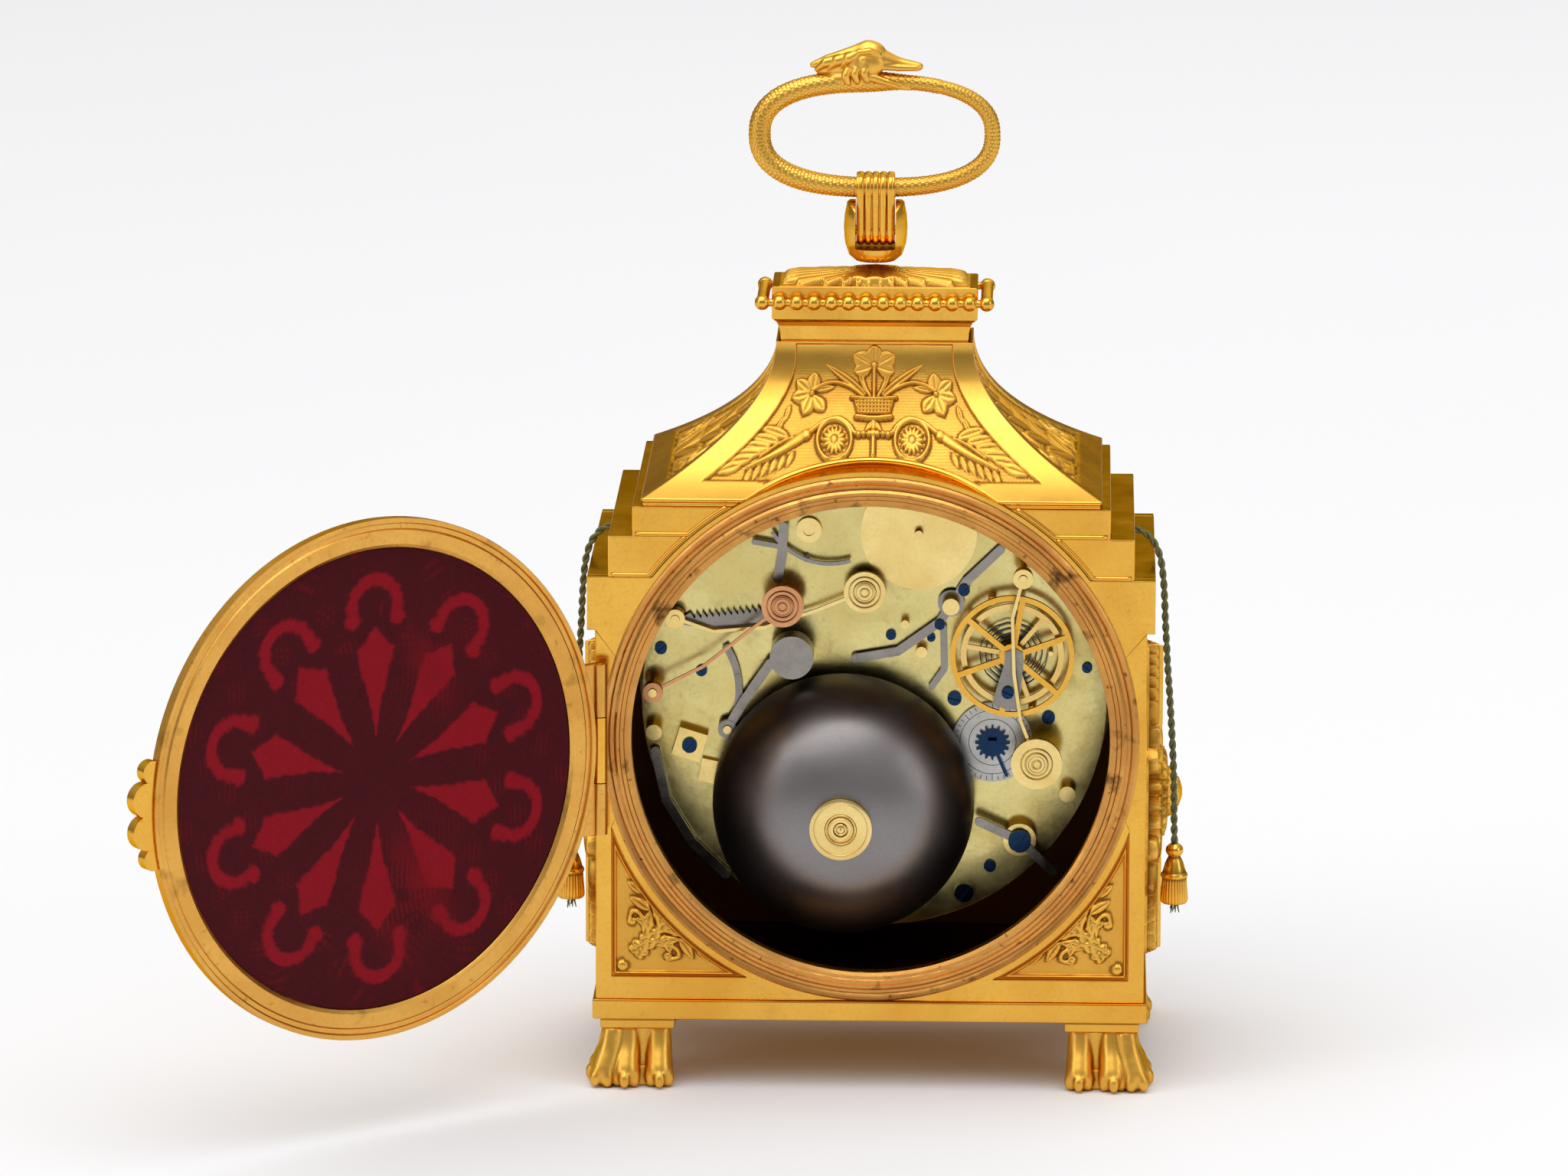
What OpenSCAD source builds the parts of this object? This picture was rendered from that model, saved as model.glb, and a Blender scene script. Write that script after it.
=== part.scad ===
// Carriage clock with an arched rear door, a serpent handle and a bell.
// Millimetres, +Z up. The origin is on the ground, under the middle of the case.
// The rear (door and bell) faces -Y and the dial faces +Y.

/* [Case] */
// Width of the top band of the case
band_w = 118; // [116:0.5:122]
// Width of the case below the band
case_w = 114.6; // [113.4:0.2:115]
// Depth of the case, from the rear face to the front face
case_d = 68; // [67:0.5:70]
// Thickness of the case walls
wall = 2.5; // [2:0.1:2.6]
// Height of the top face of the plinth
plinth_top = 19; // [18.6:0.1:19.4]
// Thickness of the plinth
plinth_t = 4.2; // [3.8:0.1:4.4]
// Height of the lower edge of the top band
band_z = 98; // [96:0.5:100]
// Height of the shoulder, where the steps start
shoulder_z = 109.3; // [108.5:0.1:110]

/* [Steps and roof] */
// Width of the lower step
step1_w = 109.2; // [107:0.5:110]
// Height of the lower step
step1_h = 8.7; // [8:0.1:9]
// Width of the upper step
step2_w = 99.2; // [97:0.5:101]
// Height of the upper step
step2_h = 6.3; // [6:0.1:7]
// Half width of the roof at its foot
roof_x = 47.4; // [46:0.2:48]
// Half depth of the roof at its foot
roof_y = 33.3; // [32:0.1:33.6]
// Half width of the roof at its neck
neck_x = 19.6; // [18:0.2:20]
// Half depth of the roof at its neck
neck_y = 7.6; // [7:0.1:8]
// Height of the roof from its foot to the top plate
roof_h = 34.7; // [33:0.1:36]

/* [Top plate and handle] */
// Width of the top plate
plate_w = 42.9; // [42:0.1:44]
// Depth of the top plate
plate_d = 17; // [16:0.1:18]
// Thickness of the top plate
plate_t = 7; // [6:0.1:8]
// Height of the handle's pivot
pivot_z = 176.7; // [176.4:0.1:177]
// Height of the middle of the handle's lower bar
grip_z = 185.7; // [185:0.1:186]
// Half width of the handle ring, to the middle of its bar
ring_half_w = 24.3; // [23:0.1:25]
// Half height of the handle ring, to the middle of its bar
ring_half_h = 11.2; // [10:0.1:12]

/* [Rear opening and door] */
// Height of the axis of the rear opening, the movement and the dial
axis_z = 75; // [74.5:0.1:75.5]
// Radius of the rear opening
opening_r = 49.8; // [49.6:0.1:50]
// Outer radius of the ring around the rear opening
bezel_r = 53.4; // [53:0.1:53.6]
// Outer radius of the door
door_r = 54.4; // [54:0.1:54.6]
// Radius of the silk in the door
silk_r = 48.2; // [47.5:0.1:48.4]
// Angle by which the door stands open
door_open = 142; // [100:1:160]

/* [Movement] */
// Radius of the movement plates
mplate_r = 49.3; // [49:0.1:49.4]
// Depth of the rear face of the movement's back plate
mplate_y = 4; // [3:0.5:5]
// Distance between the plates
mplate_gap = 16; // [15.5:0.5:16.5]
// Radius of the bell
bell_r = 27.7; // [26:0.1:28]

/* [Hidden] */
$fn = 72;

// Colours
gilt = [0.83, 0.63, 0.22];
matt_gilt = [0.80, 0.61, 0.25];
brass = [0.76, 0.68, 0.36];
steel = [0.47, 0.46, 0.46];
bell_metal = [0.37, 0.35, 0.37];
blued = [0.08, 0.20, 0.32];
copper = [0.76, 0.50, 0.30];
silvered = [0.72, 0.72, 0.70];
silk_red = [0.34, 0.04, 0.08];
cord_green = [0.28, 0.32, 0.24];
enamel = [0.94, 0.93, 0.89];

// Case levels and faces
rear_y = -case_d / 2;
front_y = case_d / 2;
rear_in = rear_y + wall;
front_in = front_y - wall;
plinth_z0 = plinth_top - plinth_t;
step1_z = shoulder_z + step1_h;
step2_z = step1_z + step2_h;
plate_z = step2_z + roof_h;
plate_top = plate_z + plate_t;
case_in = case_w / 2 - wall;
// The arch: its face plate, its barrel behind the plate, and the space inside
arch_r = 57;
barrel_r = 56.4;
cavity_r = 51;
// Roof curve: from foot_lip above its foot up to the neck
foot_lip = 0.6;
neck_h = 4.6;
roof_power = 2.1;
roof_steps = 12;
roof_t = 2.2;
// Door hinge: its axis, knuckle, pin and the split between knuckles
hinge_x = -56.2;
hinge_y = -37.4;
knuckle_r = 1.6;
hinge_pin_r = 0.8;
run = 0.05;
hinge_z = [55.3, 66.3, 80.5, 91.7];
door_y0 = -39.4;
door_y1 = -36;
// Handle parts
strap_w = 8;
fork_gap = 8.4;
pin_r = 1;
grip_r = 2.3;
// Feet
foot_x = 48.6;
foot_y = 26.6;
foot_cap = 15.6;
cap_t = 2.2;
// Movement levels
mplate_t = 2;
mfront_y = mplate_y + mplate_t + mplate_gap;
mfront_end = mfront_y + mplate_t;
bell_x = -6.3;
bell_z = -20.8;
bell_y = -2;
bell_h = 23.5;
bell_t = 1.2;
bal_x = 29.2;
bal_z = 10.8;
reg_x = 25.1;
reg_z = -8.9;
// Train: tooth counts, tooth sizes and places, from the movement's axis
barrel_n = 72;
centre_pin_n = 12;
centre_n = 60;
third_pin_n = 10;
third_n = 60;
escape_pin_n = 10;
barrel_m = 0.5;
centre_m = 0.4;
third_m = 0.35;
barrel_at = 21 * [cos(200), sin(200)];
third_at = 14 * [cos(-20), sin(-20)];
escape_at = third_at + 12.25 * [cos(60), sin(60)];
strike_at = [4, -29];
pallet_at = escape_at + 5.6 * unit([bal_x, bal_z] - escape_at);
// Motion work: cannon pinion, minute wheel and pinion, hour wheel
cannon_n = 12;
minute_n = 36;
motion_pin_n = 10;
hour_n = 40;
cannon_m = 0.35;
hour_m = cannon_m * (cannon_n + minute_n) / (motion_pin_n + hour_n);
motion_a = 60;
motion_at = cannon_m * (cannon_n + minute_n) / 2 * [cos(motion_a), sin(motion_a)];
// Pull cords: radius, depth and the height at which they leave the steps
cord_r = 0.75;
cord_y = -10;
cord_z = 115.3;
front_open_r = 48.2;

// A shape drawn in X and Z, standing between two depths
module plate(y0, y1) { translate([0, y1, 0]) rotate([90, 0, 0]) linear_extrude(y1 - y0) children(); }
// A shape drawn in Y and Z, standing between two widths
module slab(x0, x1) { translate([x0, 0, 0]) rotate([90, 0, 90]) linear_extrude(x1 - x0) children(); }
// A shape drawn round the Y axis through a point of the movement; profile in radius and depth
module turned(x, z) { translate([x, 0, z]) rotate([-90, 0, 0]) rotate_extrude() children(); }
// A round post along Y at a point
module post(x, z, r, y0, y1) { plate(y0, y1) translate([x, z]) circle(r); }
// The movement's axis
module on_axis() { translate([0, 0, axis_z]) children(); }
// A rectangle between two corners
module box2(x0, z0, x1, z1) { translate([x0, z0]) square([x1 - x0, z1 - z0]); }
// A flat bar between two points, with round ends
module bar2(a, b, w) {
    d = b - a;
    translate(a) rotate(atan2(d[1], d[0])) translate([0, -0.49 * w]) square([norm(d), 0.98 * w]);
    translate(a) circle(w / 2, $fn = 24);
    translate(b) circle(w / 2, $fn = 24);
}
// A bar through a list of points
module path2(pts, w) { for (i = [0 : len(pts) - 2]) bar2(pts[i], pts[i + 1], w); }
// A curved bar round a centre
function arc_pts(c, r, a0, a1, n) =
    [for (i = [0 : n]) let (a = a0 + (a1 - a0) * i / n) c + r * [cos(a), sin(a)]];
module arc2(c, r, w, a0, a1, n = 14) {
    polygon(concat(arc_pts(c, r + w / 2, a0, a1, n), arc_pts(c, r - w / 2, a1, a0, n)));
}
// A shape and its mirror image about x = 0, from the right half of its outline
module full(pts) {
    polygon(concat(pts, [for (i = [len(pts) - 1 : -1 : 0]) if (pts[i][0] > 0) [-pts[i][0], pts[i][1]]]));
}
// A ring
module ring2(r1, r0) {
    difference() {
        circle(r1);
        circle(r0);
    }
}
// A toothed wheel: n teeth of size m, with one tooth pointing along the angle turn
function tooth_pts(n, m, turn) = [for (i = [0 : n - 1]) each [
    for (k = [[-0.27, -1.05], [-0.12, 0.75], [0.12, 0.75], [0.27, -1.05]])
        let (a = turn + (i + k[0]) * 360 / n, r = n * m / 2 + k[1] * m) [r * cos(a), r * sin(a)]]];
module wheel2(n, m, turn) { polygon(tooth_pts(n, m, turn)); }
// A wheel's rim, hub and arms
module crossed(n, m, turn, arms, hub) {
    difference() {
        wheel2(n, m, turn);
        difference() {
            circle(n * m / 2 - 2.2 * m - 0.6);
            circle(hub);
            for (i = [0 : arms - 1]) rotate(i * 360 / arms + 15) translate([0, -0.6]) square([n * m / 2, 1.2]);
        }
    }
}

// ---------- tube along a list of points ----------
function unit(v) = v / max(norm(v), 1e-9);
function tangent(p, i) = unit(p[min(i + 1, len(p) - 1)] - p[max(i - 1, 0)]);
function side_of(t) = unit(cross(t, abs(t[1]) < 0.9 ? [0, 1, 0] : [1, 0, 0]));
function tube_ring(p, i, r, sides) = let (t = tangent(p, i), s = side_of(t), u = cross(s, t))
    [for (k = [0 : sides - 1]) p[i] + r * (cos(k * 360 / sides) * s + sin(k * 360 / sides) * u)];
module tube(p, radii, sides, closed = false) {
    n = len(p);
    rings = [for (i = [0 : n - 1]) each (closed ? loop_ring(p, i, radii[i], sides) : tube_ring(p, i, radii[i], sides))];
    last = closed ? n : n - 1;
    walls = [for (i = [0 : last - 1]) for (k = [0 : sides - 1]) for (h = [0, 1])
        let (a = i * sides + k, b = i * sides + (k + 1) % sides,
             c = ((i + 1) % n) * sides + (k + 1) % sides, d = ((i + 1) % n) * sides + k)
        h == 0 ? [a, b, c] : [a, c, d]];
    ends = closed ? [] : [[for (k = [sides - 1 : -1 : 0]) k], [for (k = [0 : sides - 1]) (n - 1) * sides + k]];
    polyhedron(rings, concat(ends, walls), convexity = 8);
}
function loop_ring(p, i, r, sides) = let (n = len(p), t = unit(p[(i + 1) % n] - p[(i + n - 1) % n]), u = cross([0, 1, 0], t))
    [for (k = [0 : sides - 1]) p[i] + r * (cos(k * 360 / sides) * u + sin(k * 360 / sides) * [0, -1, 0])];

// ---------- case ----------
module base_plinth() {
    color(gilt) translate([-58, rear_y - 1, plinth_z0]) cube([116, case_d + 2, plinth_t]);
}
// Outline of the rear and front panels, with their arched head
module panel_outline(hole_r) {
    difference() {
        union() {
            box2(-case_w / 2, plinth_top, case_w / 2, band_z);
            box2(-band_w / 2, band_z, band_w / 2, shoulder_z);
            intersection() {
                translate([0, axis_z]) circle(arch_r);
                box2(-60, plinth_top, 60, 140);
            }
        }
        translate([0, axis_z]) circle(hole_r);
    }
}
// Sunken corner panels below the arch: their depth, inner and outer edges and the arc beside the arch
pocket_t = 0.9;
pocket_x = 54;
pocket_z = 23.8;
pocket_r = 57.3;
module corner_pockets() {
    for (side = [0, 1]) mirror([side, 0]) difference() {
        box2(24, pocket_z, pocket_x, 57);
        translate([0, axis_z]) circle(pocket_r);
    }
}
module back_panel() {
    color(gilt) difference() {
        plate(rear_y, rear_in) panel_outline(opening_r);
        plate(rear_y - 1, rear_y + pocket_t) corner_pockets();
    }
}
module front_panel() {
    color(gilt) difference() {
        plate(front_in, front_y) panel_outline(front_open_r);
        plate(front_y - pocket_t, front_y + 1) corner_pockets();
    }
}
// One side wall: thin below, thicker where the top band stands out
module side_wall() {
    plate(rear_in, front_in) polygon([[case_in, plinth_top], [case_w / 2, plinth_top], [case_w / 2, band_z],
        [band_w / 2, band_z], [band_w / 2, shoulder_z], [case_in - 3, shoulder_z], [case_in - 3, shoulder_z - 5],
        [case_in, shoulder_z - 8]]);
}
module left_panel() { color(gilt) mirror([1, 0, 0]) side_wall(); }
module right_panel() { color(gilt) side_wall(); }
// The space that the arches and the movement take out of the steps and the roof
module arch_space() {
    on_axis() {
        post(0, 0, arch_r, rear_y - 1, rear_in);
        post(0, 0, arch_r, front_in, front_y + 1);
        post(0, 0, cavity_r, rear_in - 1, front_in + 1);
    }
}
// Two steps on each side of the arch, with a hole for a pull cord through the lower one
module shoulder_steps() {
    color(gilt) difference() {
        union() {
            translate([-step1_w / 2, rear_y, shoulder_z]) cube([step1_w, case_d, step1_h]);
            translate([-step2_w / 2, rear_y, step1_z - 1]) cube([step2_w, case_d, step2_h + 1]);
        }
        arch_space();
        translate([-60, cord_y, cord_z]) rotate([0, 90, 0]) cylinder(h = 120, r = cord_r + 0.6, $fn = 24);
    }
}
// Half outline of the roof from its foot to the neck and out again below the plate
function roof_half(foot, neck, cut) = concat(
    [[0, step2_z], [foot - cut, step2_z]],
    [for (i = [0 : roof_steps]) let (t = i / roof_steps)
        [neck - cut + (foot - neck) * pow(1 - t, roof_power), step2_z + foot_lip + t * (roof_h - foot_lip - neck_h)]],
    [for (i = [1 : 4]) [neck - cut + 1.5 * (1 - cos(i * 22.5)), plate_z - neck_h + neck_h * sin(i * 22.5)]],
    [[0, plate_z]]);
module roof_solid(cut) {
    intersection() {
        plate(rear_y, front_y) full(roof_half(roof_x, neck_x, cut));
        slab(-band_w / 2, band_w / 2) full(roof_half(roof_y, neck_y, cut));
    }
}
module roof_shell() {
    color(matt_gilt) difference() {
        union() {
            roof_solid(0);
            intersection() {
                on_axis() post(0, 0, barrel_r, rear_in, front_in);
                translate([-60, rear_y, step2_z]) cube([120, case_d, 20]);
            }
        }
        translate([0, 0, -2.4]) roof_solid(roof_t);
        arch_space();
    }
}
module top_plate() { color(gilt) translate([-plate_w / 2, -plate_d / 2, plate_z]) cube([plate_w, plate_d, plate_t]); }
// Bead rails round the top plate, turned in one piece per side and held on short pins
rail_z = 163;
rail_x = 23.4;
rail_y = 10.3;
bead_r = 1.62;
small_bead_r = 1.25;
rail_pin_r = 0.8;
beads_long = 12;
beads_short = 10;
// Half circle of one bead, from the pin on one side to the pin on the other
function bead_arc(z, r, a0, a1) = [for (i = [0 : 6]) let (a = a0 + (a1 - a0) * i / 6) [r * sin(a), z - r * cos(a)]];
module bead_row(length, count, r, end_balls) {
    a = asin(rail_pin_r / r);
    pitch = length / (count + 1);
    inner = [for (i = [1 : count]) each bead_arc(i * pitch - length / 2, r, a, 180 - a)];
    first = end_balls ? bead_arc(-length / 2, r, 0, 180 - a) : [[0, -length / 2], [rail_pin_r, -length / 2]];
    last = end_balls ? bead_arc(length / 2, r, a, 180) : [[rail_pin_r, length / 2], [0, length / 2]];
    rotate([0, 90, 0]) rotate_extrude() polygon(concat(first, inner, last));
}
module bead_rails() {
    pin_x = 3.5 * 2 * rail_x / (beads_long + 1);
    color(gilt) for (s = [-1, 1]) {
        translate([0, s * rail_y, rail_z]) bead_row(2 * rail_x, beads_long, bead_r, true);
        translate([s * rail_x, 0, rail_z]) rotate([0, 0, 90]) bead_row(2 * rail_y, beads_short, small_bead_r, false);
        for (t = [-1, 1]) translate([s * pin_x, t * (plate_d / 2 + rail_y) / 2, rail_z]) rotate([90, 0, 0])
            cylinder(h = rail_y - plate_d / 2, r = 0.6, center = true, $fn = 24);
    }
}
// Petal cap: half outline of one side, from its edge height up to its flat top
cap_h = 4.4;
function cap_side(half, edge, top) = [[0, plate_top], [half, plate_top], [half, plate_top + edge], [top, plate_top + cap_h],
    [0, plate_top + cap_h]];
module petal_cap() {
    color(matt_gilt) intersection() {
        plate(-9, 9) full(cap_side(19.8, 2.2, 6));
        slab(-24, 24) full(cap_side(7.9, 1.4, 4.5));
    }
}
// The fork: a turned cup, slotted for the strap
module handle_fork() {
    z0 = plate_top + cap_h;
    color(gilt) difference() {
        translate([0, 0, z0]) rotate_extrude() polygon([[0, 0], [4.2, 0], [5.6, 1.2], [6.4, 3.6], [6.7, 6.6],
            [6.5, 9.6], [6, 12.2], [5.2, 12.8], [0, 12.8]]);
        translate([-fork_gap / 2, -10, z0 + 2.9]) cube([fork_gap, 20, 20]);
        translate([-10, 0, pivot_z]) rotate([0, 90, 0]) cylinder(h = 20, r = pin_r + 0.02);
        // The ears are rounded about the pin, clear of the turning handle
        slab(-10, 10) difference() {
            box2(-10, pivot_z + 1, 10, pivot_z + 10);
            translate([0, pivot_z]) circle(6.4);
        }
    }
}
module fork_pin() { color(gilt) translate([-6.4, 0, pivot_z]) rotate([0, 90, 0]) cylinder(h = 12.8, r = pin_r); }
// Side outline of the strap: round the pin below and the handle's bar above
module strap_side(grow) {
    translate([0, pivot_z]) circle(2.75 + grow);
    translate([0, grip_z]) circle(3.05 + grow);
    box2(-2.6 - grow, pivot_z, 2.6 + grow, grip_z);
}
module handle_strap() {
    ribs = 5;
    rib_w = strap_w / (2 * ribs - 1);
    color(gilt) difference() {
        union() {
            slab(-strap_w / 2, strap_w / 2) strap_side(0);
            for (i = [0 : ribs - 1]) slab(-strap_w / 2 + 2 * i * rib_w, -strap_w / 2 + (2 * i + 1) * rib_w) strap_side(0.2);
        }
        translate([-10, 0, pivot_z]) rotate([0, 90, 0]) cylinder(h = 20, r = pin_r + run);
        translate([-10, 0, grip_z]) rotate([0, 90, 0]) cylinder(h = 20, r = grip_r + 0.05);
    }
}
// The handle: a serpent bent into a flattened ring, thinner towards its tail
loop_n = 56;
function loop_at(a) = let (c = cos(a), s = sin(a))
    [ring_half_w * sign(c) * pow(abs(c), 0.78), 0, grip_z + ring_half_h + ring_half_h * sign(s) * pow(abs(s), 0.82)];
// Bar radius: full at the bottom, thinnest where the tail enters the mouth
function loop_r(a) = let (d = (a - 62 + 360) % 360) 1.45 + 0.85 * min(1, (360 - d) / 190);
module serpent_handle() {
    color(matt_gilt) union() {
        tube([for (i = [0 : loop_n - 1]) loop_at(-90 + i * 360 / loop_n)],
            [for (i = [0 : loop_n - 1]) loop_r((270 + i * 360 / loop_n) % 360)], 12, true);
        hull() {
            translate([-9, 0, 210.2]) sphere(2.2, $fn = 16);
            translate([-2, 0, 212.3]) sphere(3.9, $fn = 16);
            translate([7.6, 0, 210.2]) sphere(1.5, $fn = 16);
            translate([5.4, 0, 208]) sphere(1.2, $fn = 16);
        }
    }
}
// A lion's paw: narrow ankle, wide toes turned a little outwards, under a square cap
module paw() {
    paw_top = plinth_z0 - cap_t;
    translate([foot_x, foot_y, 0]) {
        translate([-foot_cap / 2, -foot_cap / 2, paw_top]) cube([foot_cap, foot_cap, cap_t]);
        intersection() {
            plate(-30, 30) polygon([[-9.4, 0], [11.3, 0], [11.4, 3], [9.6, 6.5], [6.3, 10], [6.2, paw_top], [-6.9, paw_top],
                [-6.9, 9], [-9, 5]]);
            slab(-30, 30) polygon([[-7.5, 0], [10.3, 0], [10.5, 3], [9.2, 6], [6.6, 10], [6.6, paw_top], [-6.6, paw_top],
                [-6.6, 8], [-7.5, 4]]);
        }
    }
}
module paw_feet() {
    color(gilt) for (side = [0, 1]) mirror([side, 0, 0]) {
        mirror([0, 1, 0]) paw();
        paw();
    }
}
// Applied mount on each side: a long leafy plate with a raised boss
module side_mount() {
    x0 = case_w / 2;
    mount_t = 3.3;
    boss_h = 4.8;
    boss_z = 56.5;
    slab(x0, x0 + mount_t) full([[0, 21], [7, 23], [11, 30], [10, 38], [17, 46], [19, 56], [17, 66], [10, 73],
        [8, 82], [4, 88], [0, 89.5]]);
    translate([x0 + mount_t - 0.5, 0, boss_z]) rotate([0, 90, 0]) cylinder(h = boss_h + 0.5, r1 = 15.2, r2 = 3);
}
module side_mounts() {
    color(matt_gilt) {
        side_mount();
        mirror([1, 0, 0]) side_mount();
    }
}
// Stepped ring round the rear opening, cut away beside the case hinge
bezel_out = 55.9;
module rear_bezel() {
    color(copper) difference() {
        on_axis() turned(0, 0) polygon([[opening_r, rear_y], [bezel_out, rear_y], [bezel_out, rear_y - 0.5],
            [bezel_out - 0.5, rear_y - 0.9], [bezel_out - 1.2, rear_y - 0.7], [bezel_out - 1.7, rear_y - 0.3],
            [bezel_r, rear_y - 0.3], [bezel_r, rear_y - 1.2], [bezel_r - 0.5, rear_y - 1.7],
            [bezel_r - 1.1, rear_y - 1.7], [bezel_r - 1.3, rear_y - 1.3], [bezel_r - 2, rear_y - 1.3],
            [bezel_r - 2.2, rear_y - 1], [opening_r + 0.7, rear_y - 1], [opening_r, rear_y - 0.6]]);
        translate([hinge_x - 3, hinge_y, hinge_z[1]]) cube([4.3, 4, hinge_z[2] - hinge_z[1]]);
    }
}
// ---------- door ----------
module door_pose() {
    translate([hinge_x, hinge_y, 0]) rotate([0, 0, -door_open]) translate([-hinge_x, -hinge_y, 0]) children();
}
// A hinge stands outside the case: bores that take its pin
module pin_bores(y) {
    translate([hinge_x, y, hinge_z[0] - 5]) cylinder(h = hinge_z[3] - hinge_z[0] + 10, r = hinge_pin_r + run);
}
// Middle knuckle, with a leaf to the case
module case_hinge() {
    gap = 0.2;
    z0 = hinge_z[1] + gap;
    h = hinge_z[2] - hinge_z[1] - 2 * gap;
    difference() {
        union() {
            translate([hinge_x, hinge_y, z0]) cylinder(h = h, r = knuckle_r);
            translate([hinge_x - 1, hinge_y + 0.4, z0]) cube([2, rear_y - hinge_y - 0.4, h]);
        }
        pin_bores(hinge_y);
    }
}
module case_hinges() {
    color(gilt) {
        case_hinge();
        mirror([0, 1, 0]) case_hinge();
    }
}
module hinge_pins() {
    color(gilt) for (y = [hinge_y, -hinge_y]) translate([hinge_x, y, hinge_z[0] - 0.2])
        cylinder(h = hinge_z[3] - hinge_z[0] + 0.4, r = hinge_pin_r);
}
// The two outer knuckles of a door on an axis at depth y, with leaves from y0 to y1
module door_knuckles(y, y0, y1) {
    for (k = [[hinge_z[0], hinge_z[1]], [hinge_z[2], hinge_z[3]]]) {
        translate([hinge_x, y, k[0]]) cylinder(h = k[1] - k[0], r = knuckle_r);
        translate([hinge_x, y0, k[0]]) cube([8, y1 - y0, k[1] - k[0]]);
    }
}
module door_frame() {
    inner_r = silk_r - 1.4;
    color(gilt) door_pose() difference() {
        union() {
            on_axis() turned(0, 0) polygon([[inner_r, door_y0 + 0.4], [inner_r, door_y0], [door_r - 1, door_y0],
                [door_r, door_y0 + 1], [door_r, door_y1], [door_r - 1, door_y1], [door_r - 1.2, door_y1 - 0.6],
                [door_r - 2.2, door_y1 - 0.6], [door_r - 2.5, door_y1 - 0.2], [silk_r + 0.8, door_y1 - 0.2],
                [silk_r, door_y1 - 0.8], [silk_r, door_y0 + 0.9], [inner_r, door_y0 + 0.9]]);
            door_knuckles(hinge_y, hinge_y - 1.4, hinge_y + 0.3);
        }
        pin_bores(hinge_y);
        on_axis() post(0, 0, inner_r, door_y0 - 1, door_y1 + 1);
    }
}
// One spear-shaped opening of the fret, with its point inside the scroll opening that stands round it
spear_n = 10;
module spear() {
    polygon([[9, 0], [16, 1.3], [25.4, 4.2], [27.4, 4.6], [27.9, 3.6], [32, 0], [27.9, -3.6], [27.4, -4.6], [25.4, -4.2],
        [16, -1.3]]);
}
module scroll() {
    arc2([36.2, 0], 5.6, 2.6, -112, 112, 14);
    for (s = [-1, 1]) translate([33.6, s * 5.5]) circle(1.8, $fn = 24);
}
module door_fret() {
    color(matt_gilt) door_pose() on_axis() plate(door_y0 + 0.9, door_y0 + 1.9) difference() {
        circle(silk_r - 0.05);
        for (i = [0 : spear_n - 1]) rotate(90 + i * 360 / spear_n) {
            spear();
            scroll();
        }
    }
}
module door_silk() { color(silk_red) door_pose() on_axis() post(0, 0, silk_r - 0.1, door_y0 + 2, door_y0 + 2.6); }
// Two-lobed finger tab on the free edge of the door
module door_catch() {
    tab_r = 3.6;
    color(gilt) door_pose() on_axis() plate(door_y0 + 0.3, door_y1 - 0.6) difference() {
        union() {
            for (s = [-1, 1]) {
                translate([door_r + 1.1, s * 3.4]) circle(tab_r);
                translate([door_r - 0.2, s * 9]) circle(2.4);
            }
            box2(door_r - 3, -9, door_r + 1.2, 9);
        }
        circle(door_r + 0.02);
    }
}
// ---------- front ----------
glass_r = 46.9;
module front_bezel() {
    y0 = front_y + 0.1;
    color(gilt) difference() {
        union() {
            on_axis() turned(0, 0) polygon([[glass_r - 1.6, y0 + 0.2], [glass_r - 1.6, y0 + 0.9], [glass_r + 0.1, y0 + 0.9],
                [glass_r + 0.1, y0 + 2.3], [glass_r + 1, y0 + 3.9], [glass_r + 2.8, y0 + 4.2], [glass_r + 4, y0 + 3.3],
                [glass_r + 4.4, y0 + 2.2], [door_r - 1.2, y0 + 1.9], [door_r, y0 + 0.8], [door_r, y0], [front_open_r - 0.6, y0],
                [front_open_r - 0.6, front_in + 0.3], [front_open_r - 1.8, front_in + 0.3], [front_open_r - 1.8, y0 + 0.2]]);
            door_knuckles(-hinge_y, -hinge_y - 1.5, -hinge_y + 0.4);
        }
        pin_bores(-hinge_y);
    }
}
module front_glass() {
    dome_r = 260;
    glass_t = 1;
    edge_y = front_y + 1.05;
    dome_y = edge_y - sqrt(dome_r * dome_r - glass_r * glass_r);
    color([0.85, 0.9, 0.9, 0.35]) on_axis() turned(0, 0) polygon(concat(
        [for (i = [0 : 8]) let (x = glass_r * i / 8) [x, dome_y + sqrt(dome_r * dome_r - x * x) + glass_t]],
        [for (i = [8 : -1 : 0]) let (x = glass_r * i / 8) [x, dome_y + sqrt(dome_r * dome_r - x * x)]]));
}
dial_y = 27.6;
dial_r = 46;
cannon_y = 24.3;
hour_wheel_y = 25.5;
module dial() {
    color(enamel) on_axis() difference() {
        post(0, 0, dial_r, dial_y, dial_y + 1);
        for (p = [[0, 0], barrel_at, strike_at]) post(p[0], p[1], 2.5, dial_y - 1, dial_y + 2);
    }
}
// Brass ring that carries the dial and holds the movement to the front panel
module dial_ring() {
    color(brass) on_axis() {
        plate(dial_y + 1, front_in) ring2(cavity_r - 0.2, dial_r - 1);
        for (a = [45 : 90 : 315]) post(48 * cos(a), 48 * sin(a), 1.2, mfront_end, dial_y + 1.1);
    }
}
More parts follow.
